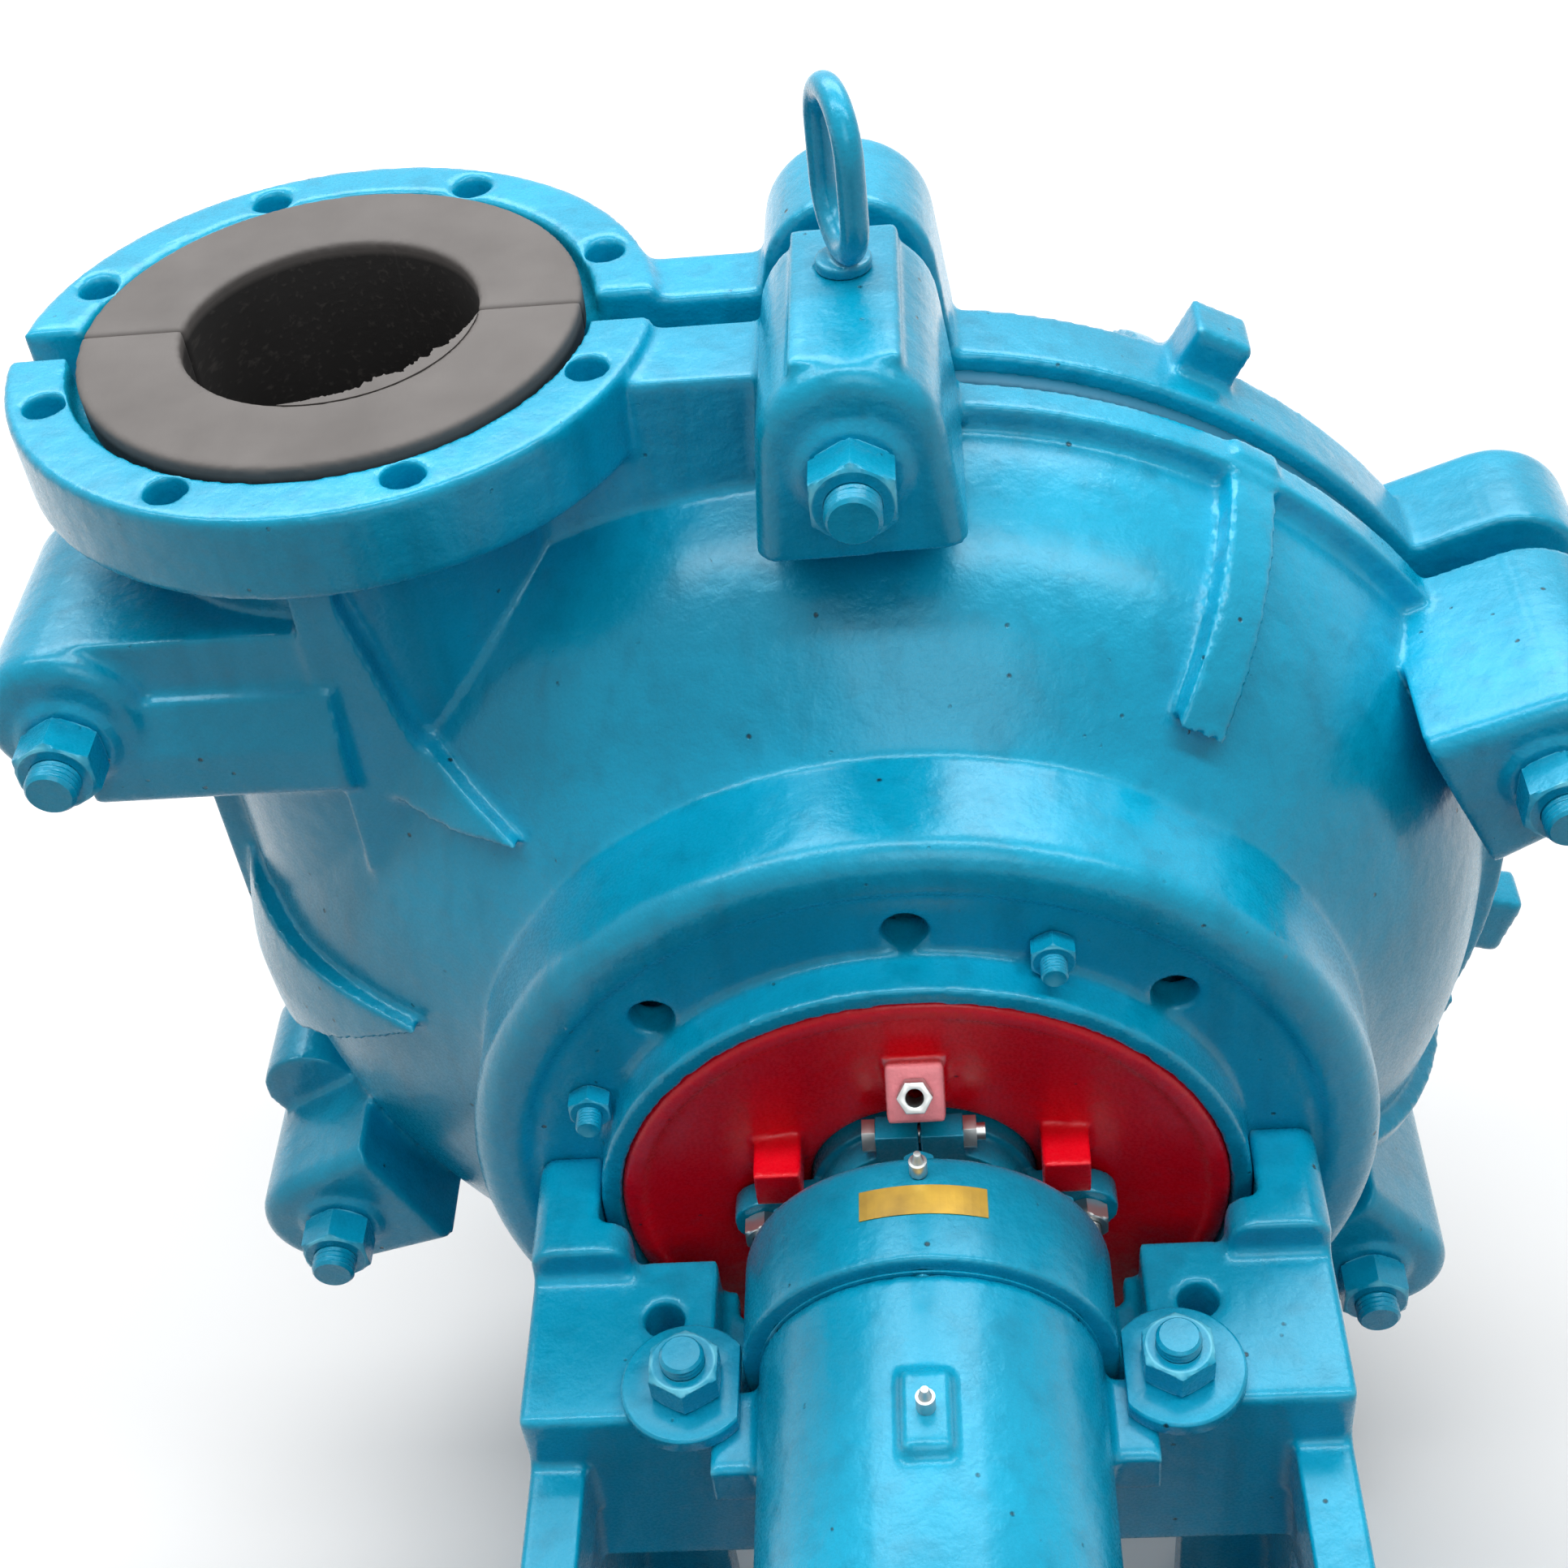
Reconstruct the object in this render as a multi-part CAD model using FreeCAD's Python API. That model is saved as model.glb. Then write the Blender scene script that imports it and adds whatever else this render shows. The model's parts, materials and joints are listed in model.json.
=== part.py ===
import FreeCAD, Part
import math
import os

# Rubber lined slurry pump: end suction, vertically split casing, gland packed, grease lubricated.
# Units are millimetres. While a piece is modelled the shaft axis is the Y axis, y = 0 is the
# plane where the two casing halves meet, +Y is the suction side, -Y the drive side, +Z is up.
# At the end every piece is moved so that the origin is the middle of the four foundation holes.

# Place of the pump on its foundation
SHAFT_HEIGHT = 440.0
FOOT_HOLE_X = 216.0
FOOT_FRONT_HOLE_Y = -205.0
FOOT_REAR_HOLE_Y = -735.0
FOOT_HOLE_RADIUS = 13.0
SPLIT_Y = -(FOOT_FRONT_HOLE_Y + FOOT_REAR_HOLE_Y) / 2

# Clearances
RUBBER_FIT = 0.3
RUN_GAP = 0.3
SHAFT_FIT = 0.05
BOLT_PLAY = 0.5

# Casing outline: the tight radius of the volute and the two steps by which its arcs grow
PLATE_GAP = 22.0
RIM_RADIUS = 311.0
RIM_THICK = 20.0
COVER_RIM_THICK = 41.0
VOLUTE_STEP_DOWN = 18.0
VOLUTE_STEP_LEFT = 14.0
DOME_INSET = 12.0
CASING_WALL = 28.0
LINER_THICK = 22.0
LIP_INSET = 8.0

# Depth of the pieces inside, measured from the split plane
CAVITY_DEPTH = 100.0
WET_DEPTH = 78.0
WEAR_FACE_Y = 58.0

# Discharge neck and flange
NECK_X = -242.7
FLANGE_TOP_Z = 354.0
FLANGE_THICK = 42.0
FLANGE_RADIUS = 147.0
FLANGE_PCD_RADIUS = 130.0
FLANGE_HOLES = 8
FLANGE_HOLE_RADIUS = 9.25
NECK_WALL = 16.0
DISCHARGE_BORE = 67.5
SEAL_FACE_RADIUS = 114.0
SEAL_RECESS_GAP = 5.0
SEAL_RECESS_DEPTH = 14.0
SEAL_FACE_PROUD = 3.0

# Drum on the drive side of the frame plate
DRUM_RADIUS = 216.0
DRUM_START_Y = -150.0
DRUM_LIP_Y = -217.0
DRUM_LIP_INNER = 191.0
ANNULUS_Y = -213.0
ANNULUS_THICK = 18.0
DRUM_WALL = 16.0
SPIGOT_RADIUS = 153.0
SPIGOT_Y = -236.0
BOX_BORE = 143.0
BOX_SEAT_Y = -196.0
BOX_SEAT_BORE = 125.0
ANNULUS_HOLE_CIRCLE = 164.5
ANNULUS_HOLE_RADIUS = 10.25
ANNULUS_HOLES = 8

# Casing bolts: distance from the shaft and angle, clockwise from the top seen from the drive end
CASING_BOLTS = [(344.0, 358.5), (332.0, 62.7), (333.0, 133.0), (350.0, 190.0), (362.0, 246.4),
                (435.0, 300.9)]
TOP_BOLT = 0
ARM_BOLT = 5
CASING_BOLT_RADIUS = 12.0
CASING_NUT_FLATS = 36.0
CASING_NUT_THICK = 21.0
CASING_HEAD_THICK = 15.0
CASING_BOLT_SPARE = 11.0
LUG_RADIUS = 39.0
LUG_END_BEYOND = 8.0
LUG_ROOT_INSET = 44.0
LUG_ROOT_WIDTH = 90.0
LUG_EDGE = 10.0
LUG_FRONT_Y = -125.0
LUG_REAR_Y = 75.0
SPOT_FACE_RADIUS = 22.0
SPOT_FACE_RAISE = 3.0
TOP_PAD_WIDTH = 46.0
TOP_PAD_RAISE = 47.0

# Horizontal arm that carries the bolt beside the discharge neck: its face steps out at two ledges
ARM_INNER_X = -250.0
ARM_TOP_RAISE = 46.0
ARM_LEDGE_RAISE = 16.0
ARM_LEDGE_STEP = 5.0
ARM_SLOPE_DROP = 13.0
ARM_FACE_DROP = 38.0
ARM_UPPER_STEP = 11.0
ARM_FOOT_Z = 88.0

# Cast ribs that stand proud of the dome, as corner points of (distance from the shaft, angle)
RIB_PROUD = 10.0
FRAME_RIBS = [[(245.0, 30.0), (314.0, 30.8), (314.0, 35.2), (245.0, 35.6)],
              [(232.0, 110.8), (322.0, 111.4), (322.0, 114.6), (232.0, 115.2)],
              [(250.0, 279.0), (318.0, 279.5), (357.0, 280.5), (362.0, 263.0), (318.0, 269.0)],
              [(240.0, 313.5), (305.0, 312.5), (305.0, 304.8), (262.0, 309.0)],
              [(232.0, 220.0), (330.0, 220.6), (330.0, 223.4), (232.0, 224.0)],
              [(232.0, 158.0), (318.0, 158.6), (318.0, 161.4), (232.0, 162.0)]]
COVER_RIB_ANGLES = [25.0, 95.0, 160.0, 218.0, 278.0]
COVER_RIB_THICK = 15.0
COVER_RIB_DEPTH = 142.0
COVER_BOSSES = [(29.0, 335.0, 30.0, 30.0, 60.0), (106.5, 350.0, 40.0, 11.0, 40.0)]

# Flat strip down the front of the neck: its left edge, and the corners of its right edge
NECK_STRIP_LEFT_X = -258.5
NECK_STRIP_CORNERS = [(-238.0, 285.0), (-223.0, 217.0), (-198.0, 123.0)]
NECK_STRIP_Y = -116.0

# Bars between the discharge flange and the top lug
FRAME_BAR_THICK = 46.0
COVER_BAR_THICK = 38.0
BAR_TOP_Z = 348.0
SIDE_BOSS_RADIUS = 27.0
SIDE_BOSS_X = -350.0
SIDE_BOSS_Z = -103.0
SIDE_BOSS_DEPTH = 62.0

# Lifting eye on the top lug
EYE_BAR = 6.0
EYE_WIDTH = 22.0
EYE_LENGTH = 24.0
EYE_COLLAR = 5.0
EYE_STEM_LENGTH = 30.0
EYE_Y = -45.0
EYE_TURN = 17.0

# Suction side
SUCTION_BORE = 82.0
SUCTION_LINER_OUTER = 100.0
SUCTION_TUBE_RADIUS = 122.0
SUCTION_FLANGE_RADIUS = 170.0
SUCTION_FLANGE_THICK = 28.0
SUCTION_FACE_Y = 245.0
SUCTION_PCD_RADIUS = 149.0
SUCTION_HOLES = 8
SUCTION_HOLE_RADIUS = 11.0
THROAT_RADIUS = 160.0
THROAT_SPIGOT_Y = 150.0
BACK_LINER_RADIUS = 195.0
BACK_LINER_BORE = 56.0
BACK_STEEL = 12.0

# Impeller
IMPELLER_RADIUS = 208.0
IMPELLER_HALF_WIDTH = 52.0
IMPELLER_SHROUD = 14.0
IMPELLER_EYE = 78.0
IMPELLER_HUB_RADIUS = 46.0
IMPELLER_HUB_Y = -100.0
VANES = 5
VANE_THICK = 14.0
VANE_SWEEP = 62.0
VANE_MIDDLE = 0.62
EXPELLER_RAISE = 5.0

# Shaft and sleeve
THREAD_RADIUS = 28.0
THREAD_END_Y = -32.0
SHAFT_RADIUS = 32.0
SLEEVE_RADIUS = 41.0
SPACER_RADIUS = 42.0
BEARING_SEAT_RADIUS = 37.5
BEARING_SEAT_Y = -300.0
LOCKNUT_THREAD_RADIUS = 36.0
DRIVE_START_Y = -756.0
DRIVE_LENGTH = 112.0
DRIVE_RADIUS = 35.0
KEY_WIDTH = 20.0
KEY_DEPTH = 7.5
KEY_LENGTH = 90.0
KEY_END_GAP = 8.0
KEY_TURN = 22.5

# Stuffing box and gland
BOX_FACE_Y = -222.0
BOX_RIM_WIDTH = 9.0
BOX_RIM_STEP = 3.0
BOX_BARREL_RADIUS = 76.0
BOX_WEB_Y = -196.0
PACKING_CHAMBER = 53.7
NECK_LIP_Y = -104.0
NECK_LIP_RADIUS = 47.0
NECK_RING_LENGTH = 16.0
PACKING_LENGTH = 12.5
INNER_PACKINGS = 5
LANTERN_LENGTH = 14.0
GLAND_FRONT_Y = -242.0
GLAND_EAR_Y = -228.5
GLAND_BODY_RADIUS = 50.0
GLAND_EAR_HALF_HEIGHT = 15.0
GLAND_STUD_X = 75.0
GLAND_STUD_RADIUS = 6.0
GLAND_STUD_START_Y = -200.0
GLAND_STUD_END_Y = -264.0
GLAND_NUT_FLATS = 19.0
GLAND_NUT_THICK = 10.0
GLAND_BLOCK_HALF_WIDTH = 20.0
GLAND_BLOCK_TOP = 60.0
GLAND_CLAMP_Z = 54.0
GLAND_CLAMP_RADIUS = 4.0
GLAND_CLAMP_FLATS = 14.0
GLAND_CLAMP_HEAD = 6.0
PORT_BOSS_SIDE = 26.0
PORT_BOSS_OUT = 14.0
PORT_TILT = 40.0
PORT_RADIUS = 5.0
PORT_Z = 88.0
PORT_Y = -236.0
FITTING_FLATS = 14.0
FITTING_OUT = 10.0
LUG_EAR_X = 66.0
LUG_EAR_WIDTH = 22.0
LUG_EAR_TOP = 45.0
LUG_EAR_BOTTOM = 24.0
LUG_EAR_FRONT_Y = -249.0

# Bearing assembly
HOUSING_RADIUS = 76.0
HOUSING_FRONT_Y = -325.0
HOUSING_REAR_Y = -700.0
HOUSING_BORE = 65.0
HOUSING_CORE = 58.0
BEARING_WIDTH = 33.0
BEARING_FRONT_Y = -352.0
BEARING_REAR_Y = -642.0
INNER_RACE = 45.0
OUTER_RACE = 58.0
ROLLERS = 12
ROLLER_GAP = 0.1
COVER_RADIUS = 83.5
FRONT_COVER_LENGTH = 56.0
REAR_COVER_LENGTH = 40.0
COVER_EDGE = 7.0
COVER_PLATE_THICK = 14.0
COVER_BORE = 52.0
GASKET_THICK = 1.0
COVER_SCREWS = 6
COVER_SCREW_CIRCLE = 70.5
COVER_SCREW_RADIUS = 4.0
COVER_SCREW_FLATS = 13.0
COVER_SCREW_HEAD = 5.5
COVER_SCREW_REACH = 18.0
LABYRINTH_RADIUS = 58.0
LABYRINTH_THICK = 7.0
LABYRINTH_GAP = 2.0
LOCKNUT_RADIUS = 48.0
LOCKNUT_THICK = 14.0
HOUSING_COLLAR = 6.0
RAIL_X = 97.0
RAIL_DEPTH = 25.0
RAIL_SPANS = [(-331.0, -371.0), (-613.0, -696.0)]
NIPPLE_RADIUS = 4.0
NIPPLE_HEIGHT = 13.0
NIPPLE_STEM = 6.0
NIPPLE_PAD_WIDTH = 21.0
NIPPLE_PAD_LENGTH = 36.0
NIPPLE_PAD_RAISE = 5.0
NIPPLE_PAD_INSET = 49.0

# Adjusting screw under the bearing housing
ADJUST_Z = -112.0
ADJUST_RADIUS = 10.0
ADJUST_LUG_Y = -520.0
ADJUST_LUG_THICK = 26.0
ADJUST_LUG_HALF_WIDTH = 24.0
ADJUST_LUG_BELOW = 22.0
ADJUST_WALL_Y = -566.0
ADJUST_WALL_THICK = 20.0
ADJUST_NUT_FLATS = 30.0
ADJUST_NUT_THICK = 16.0
ADJUST_SCREW_SPARE = 10.0

# Base frame
PILLAR_INNER_X = 137.0
PILLAR_OUTER_X = 184.0
PILLAR_TOP_Z = 20.0
PILLAR_ROUND = 12.0
PAD_INNER_X = 90.0
PAD_START_Y = -269.0
PAD_END_Y = -345.0
PAD_THICK = 40.0
REAR_PAD_START_Y = -618.0
REAR_PAD_END_Y = -694.0
SADDLE_WALL_Y = -245.0
SADDLE_WALL_THICK = 24.0
BASE_WALL_THICK = 24.0
BASE_FLARE = 22.0
SIDE_TOP_Z = -52.0
FOOT_OUTER_X = 246.0
FOOT_INNER_X = 162.0
FOOT_THICK = 28.0
FOOT_FRONT_Y = -150.0
FOOT_REAR_Y = -790.0
FOOT_CORNER = 22.0
BASE_REAR_Y = -710.0
WINDOW_FRONT_Y = -330.0
WINDOW_REAR_Y = -560.0
WINDOW_TOP_Z = -130.0
WINDOW_BOTTOM_Z = -360.0
WINDOW_ROUND = 50.0
CRADLE_DEPTH = 120.0
PAD_HOLE_X = 121.0
PAD_HOLE_Y = -292.5
PAD_HOLE_RADIUS = 9.25
CLAMP_X = 107.5
CLAMP_INSET_Y = 14.0
CLAMP_WASHER_RADIUS = 30.0
CLAMP_WASHER_THICK = 8.0
CLAMP_FLAT_GAP = 1.0
CLAMP_STUD_RADIUS = 10.0
CLAMP_NUT_FLATS = 30.0
CLAMP_NUT_THICK = 16.0
CLAMP_STUD_OUT = 31.0
CLAMP_STUD_IN = 32.0

# Studs between the base and the frame plate, and those that hold the back liner
BASE_STUD_ANGLES = [135.0, 180.0, 225.0]
BASE_STUD_RADIUS = 10.0
BASE_NUT_FLATS = 30.0
BASE_NUT_THICK = 16.0
LINER_STUD_ANGLES = [22.5, 112.5, 202.5, 292.5]
LINER_STUD_RADIUS = 6.0
LINER_STUD_CIRCLE = 164.0
LINER_NUT_FLATS = 19.0
LINER_NUT_THICK = 10.0
LINER_STUD_SPARE = 9.0

HALF_GAP = PLATE_GAP / 2
SEAL_RING_INSET = 2.5
SEAL_RING_DEPTH = 3.0
BOX_SEAL_RADIUS = 67.0
BIG = 1500.0

V = FreeCAD.Vector
UP = V(0, 0, 1)
ALONG = V(0, 1, 0)
ACROSS = V(1, 0, 0)


def place_on_clock(radius, degrees):
    """x and z of a point at an angle measured clockwise from the top, seen from the drive end."""
    angle = math.radians(degrees)
    return radius * math.sin(angle), radius * math.cos(angle)


def rod(radius, y_from, y_to, x=0.0, z=0.0):
    low = min(y_from, y_to)
    return Part.makeCylinder(radius, abs(y_to - y_from), V(x, low, z), ALONG)


def ring(outer, inner, y_from, y_to):
    low, high = sorted((y_from, y_to))
    return rod(outer, low, high).cut(rod(inner, low - 1, high + 1))


def block(x_pair, y_pair, z_pair):
    x0, x1 = sorted(x_pair)
    y0, y1 = sorted(y_pair)
    z0, z1 = sorted(z_pair)
    return Part.makeBox(x1 - x0, y1 - y0, z1 - z0, V(x0, y0, z0))


def turned(profile):
    """A solid turned about the shaft axis from (radius, y) points; three values are an arc."""
    edges = []
    points = [p for p in profile]
    last = points[0]
    index = 1
    while index < len(points):
        point = points[index]
        if len(point) == 3:
            end = points[index + 1]
            edges.append(Part.Arc(V(last[0], last[1], 0), V(point[0], point[1], 0),
                                  V(end[0], end[1], 0)).toShape())
            last = end
            index += 2
        else:
            edges.append(Part.LineSegment(V(last[0], last[1], 0), V(point[0], point[1], 0)).toShape())
            last = point
            index += 1
    edges.append(Part.LineSegment(V(last[0], last[1], 0), V(points[0][0], points[0][1], 0)).toShape())
    return Part.Face(Part.Wire(edges)).revolve(V(0, 0, 0), ALONG, 360)


def prism(points, height, direction):
    """A straight prism over a closed list of corner points."""
    wire = Part.makePolygon(points + [points[0]])
    return Part.Face(wire).extrude(direction * height)


def hexagon(flats, y_from, y_to, x=0.0, z=0.0):
    """A hexagonal prism along the shaft direction, corners up and down."""
    corner = flats / math.sqrt(3)
    low, high = sorted((y_from, y_to))
    points = []
    for step in range(6):
        angle = math.radians(60 * step + 30)
        points.append(V(x + corner * math.sin(angle + math.pi / 6), low,
                        z + corner * math.cos(angle + math.pi / 6)))
    return prism(points, high - low, ALONG)


def joined(shapes):
    """One solid from pieces that overlap, with its split faces merged."""
    shape = shapes[0]
    if len(shapes) > 1:
        shape = shape.fuse(shapes[1:])
    return shape.removeSplitter()


def half_space(y_from, y_to):
    return block((-BIG, BIG), (y_from, y_to), (-BIG, BIG))


# Volute outline and the bodies built on it

def volute_wire(y, radius, spread):
    """Closed outline of four arcs: round at spread 0, and growing towards the neck at spread 1."""
    down = VOLUTE_STEP_DOWN * spread
    left = VOLUTE_STEP_LEFT * spread
    diagonal = math.sqrt(0.5)
    top = V(0, y, radius)
    right = V(radius, y, 0)
    bottom = V(-down, y, -(radius + down))
    far = V(-(radius + 2 * down + left), y, left)
    first = V(radius * diagonal, y, radius * diagonal)
    second_radius = radius + down
    second = V(-down + second_radius * diagonal, y, -second_radius * diagonal)
    third_radius = radius + down + left
    third = V(-down - third_radius * diagonal, y, left - third_radius * diagonal)
    fourth_radius = radius + (2 * down + left) / 2
    fourth = V(-fourth_radius * diagonal, y, fourth_radius * diagonal)
    return Part.Wire([Part.Arc(top, first, right).toShape(), Part.Arc(right, second, bottom).toShape(),
                      Part.Arc(bottom, third, far).toShape(), Part.Arc(far, fourth, top).toShape()])


def volute_plate(radius, y_from, y_to):
    return Part.Face(volute_wire(y_from, radius, 1.0)).extrude(V(0, y_to - y_from, 0))


def volute_body(sections):
    """Smooth body through outlines given as (y, radius, spread)."""
    wires = [volute_wire(y, radius, spread) for y, radius, spread in sections]
    return Part.makeLoft(wires, True, False)


def neck_rod(radius, z_from, z_to):
    return Part.makeCylinder(radius, z_to - z_from, V(NECK_X, 0, z_from), UP)


def casing_cavity(side, gap):
    """Space inside one metal half, smaller by the gap all round when it shapes the rubber."""
    tight = RIM_RADIUS - CASING_WALL - gap
    deep = side * (CAVITY_DEPTH - gap)
    body = volute_body([(0, tight, 1.0), (side * 20, tight - 1, 1.0), (side * 60, tight - 10, 0.95),
                        (deep, tight - 43, 0.7)])
    neck = neck_rod(DISCHARGE_BORE + LINER_THICK - gap, 10, FLANGE_TOP_Z + 20)
    return body.fuse(neck.common(half_space(0, side * BIG)))


def wet_space(side):
    """Space that the slurry fills in one half."""
    tight = RIM_RADIUS - CASING_WALL - LINER_THICK
    body = volute_body([(0, tight, 1.0), (side * 15, tight - 0.5, 1.0), (side * 48, tight - 7, 0.95),
                        (side * WET_DEPTH, tight - 36, 0.7)])
    neck = neck_rod(DISCHARGE_BORE, 10, FLANGE_TOP_Z + 20)
    return body.fuse(neck.common(half_space(0, side * BIG)))


def bolt_places():
    return [place_on_clock(radius, angle) for radius, angle in CASING_BOLTS]


def lug(index, y_from, y_face):
    """Casing bolt lug: sides tangent to its round end, and a rounded edge on its outer face."""
    radius, angle = CASING_BOLTS[index]
    half = LUG_ROOT_WIDTH / 2
    inner = radius - LUG_ROOT_INSET
    centre = radius + LUG_END_BEYOND
    deep = centre - inner
    turn = math.acos(LUG_RADIUS / math.hypot(half, deep)) - math.atan2(deep, half)
    side = LUG_RADIUS * math.cos(turn)
    start = centre + LUG_RADIUS * math.sin(turn)
    end_arc = Part.Arc(V(side, y_from, start), V(0, y_from, centre + LUG_RADIUS), V(-side, y_from, start))
    wire = Part.Wire([Part.LineSegment(V(-half, y_from, inner), V(half, y_from, inner)).toShape(),
                      Part.LineSegment(V(half, y_from, inner), V(side, y_from, start)).toShape(),
                      end_arc.toShape(),
                      Part.LineSegment(V(-side, y_from, start), V(-half, y_from, inner)).toShape()])
    shape = Part.Face(wire).extrude(V(0, y_face - y_from, 0))
    crown = []
    for edge in shape.Edges:
        on_face = all(abs(corner.Point.y - y_face) < 0.01 for corner in edge.Vertexes)
        if on_face and edge.BoundBox.ZMax > inner + 1:
            crown.append(edge)
    shape = shape.makeFillet(LUG_EDGE, crown)
    shape.rotate(V(0, 0, 0), ALONG, angle)
    return shape


def side_arm(y_front):
    """Arm for the bolt beside the neck: upper band, sloping ledge, face, and an underside to the rim."""
    bolt_x, bolt_z = bolt_places()[ARM_BOLT]
    side = math.copysign(1, y_front)
    top = bolt_z + ARM_TOP_RAISE
    ledge = bolt_z + ARM_LEDGE_RAISE
    points = [V(bolt_x, side * HALF_GAP, top), V(bolt_x, y_front - side * ARM_UPPER_STEP, top),
              V(bolt_x, y_front - side * ARM_UPPER_STEP, ledge),
              V(bolt_x, y_front - side * ARM_LEDGE_STEP, ledge),
              V(bolt_x, y_front, bolt_z - ARM_SLOPE_DROP), V(bolt_x, y_front, bolt_z - ARM_FACE_DROP),
              V(bolt_x, side * HALF_GAP, ARM_FOOT_Z)]
    arm = prism(points, ARM_INNER_X - bolt_x, ACROSS)
    end = rod(LUG_RADIUS, side * HALF_GAP, y_front, bolt_x, top - LUG_RADIUS)
    crown = [edge for edge in end.Edges if abs(edge.BoundBox.YMin - y_front) < 0.01
             and abs(edge.BoundBox.YMax - y_front) < 0.01]
    return arm.fuse(end.makeFillet(LUG_EDGE, crown))


def rib(corners, side, sections):
    """Cast rib that follows the dome at a height of its own, over corner points on the clock."""
    points = []
    for radius, angle in corners:
        x, z = place_on_clock(radius, angle)
        points.append(V(x, 0, z))
    plate = prism(points, BIG, V(0, side, 0))
    raised = volute_body([(y + side * RIB_PROUD / 2, radius + RIB_PROUD, spread)
                          for y, radius, spread in sections])
    raised = raised.fuse(volute_plate(RIM_RADIUS + RIB_PROUD, side * HALF_GAP,
                                      sections[0][0] + side * RIB_PROUD / 2))
    return plate.common(raised)


def straight_rib(angle, inner, outer, thick):
    """Corner points of a rib that runs straight out from the shaft."""
    corners = []
    for radius, sign in ((inner, -1), (outer, -1), (outer, 1), (inner, 1)):
        corners.append((radius, angle + sign * math.degrees(thick / 2 / radius)))
    return corners


def flange_bar(side, thick):
    """Bar along the rim between the discharge flange and the top lug."""
    top_x = bolt_places()[TOP_BOLT][0]
    return block((NECK_X, top_x), (side * HALF_GAP, side * (HALF_GAP + thick)), (RIM_RADIUS / 2, BAR_TOP_Z))


def casing_half_outside(side, dome_sections, lug_face_y, rim_thick, bar_thick):
    """Rim, dome, neck, flange half, lugs and webs of one metal half, still solid."""
    rim = volute_plate(RIM_RADIUS, side * HALF_GAP, side * (HALF_GAP + rim_thick))
    dome = volute_body(dome_sections)
    neck_radius = DISCHARGE_BORE + LINER_THICK + NECK_WALL
    neck = neck_rod(neck_radius, 0, FLANGE_TOP_Z - FLANGE_THICK / 2)
    neck_rim_half = neck_radius + DOME_INSET
    neck_rim = block((NECK_X - neck_rim_half, NECK_X + neck_rim_half),
                     (side * HALF_GAP, side * (HALF_GAP + rim_thick)), (0, FLANGE_TOP_Z - FLANGE_THICK / 2))
    flange = neck_rod(FLANGE_RADIUS, FLANGE_TOP_Z - FLANGE_THICK, FLANGE_TOP_Z)
    flange = flange.makeFillet(2.0, [e for e in flange.Edges if e.Curve.TypeId == "Part::GeomCircle"])
    half = half_space(side * HALF_GAP, side * BIG)
    pieces = [rim, dome, neck.common(half), neck_rim, flange.common(half), flange_bar(side, bar_thick)]
    for index in range(len(CASING_BOLTS)):
        if index != ARM_BOLT:
            pieces.append(lug(index, side * HALF_GAP, lug_face_y))
    pieces.append(side_arm(lug_face_y))
    return pieces


def bolt_holes(radius):
    return [rod(radius, -BIG, BIG, x, z) for x, z in bolt_places()]


def flange_holes():
    holes = []
    for step in range(FLANGE_HOLES):
        angle = math.radians(22.5 + 360.0 / FLANGE_HOLES * step)
        x = NECK_X + FLANGE_PCD_RADIUS * math.cos(angle)
        y = FLANGE_PCD_RADIUS * math.sin(angle)
        holes.append(Part.makeCylinder(FLANGE_HOLE_RADIUS, FLANGE_THICK + 2,
                                       V(x, y, FLANGE_TOP_Z - FLANGE_THICK - 1), UP))
    return holes


def seal_recess():
    return neck_rod(SEAL_FACE_RADIUS + SEAL_RECESS_GAP, FLANGE_TOP_Z - SEAL_RECESS_DEPTH, FLANGE_TOP_Z + 20)


def top_pad():
    """Flat raised pad on the top lug, where the lifting eye is screwed in."""
    x = bolt_places()[TOP_BOLT][0]
    z = bolt_places()[TOP_BOLT][1]
    return block((x - TOP_PAD_WIDTH / 2, x + TOP_PAD_WIDTH / 2), (-HALF_GAP, LUG_FRONT_Y + LUG_EDGE),
                 (z, z + TOP_PAD_RAISE))


def neck_strip():
    """Flat strip down the front of the discharge neck, wider towards the dome."""
    low = NECK_STRIP_CORNERS[-1][1]
    top = FLANGE_TOP_Z - FLANGE_THICK / 2
    points = [V(NECK_STRIP_LEFT_X, 0, low), V(NECK_STRIP_LEFT_X, 0, top), V(NECK_STRIP_CORNERS[0][0], 0, top)]
    points += [V(x, 0, z) for x, z in NECK_STRIP_CORNERS]
    return prism(points, -NECK_STRIP_Y, V(0, -1, 0))


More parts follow.
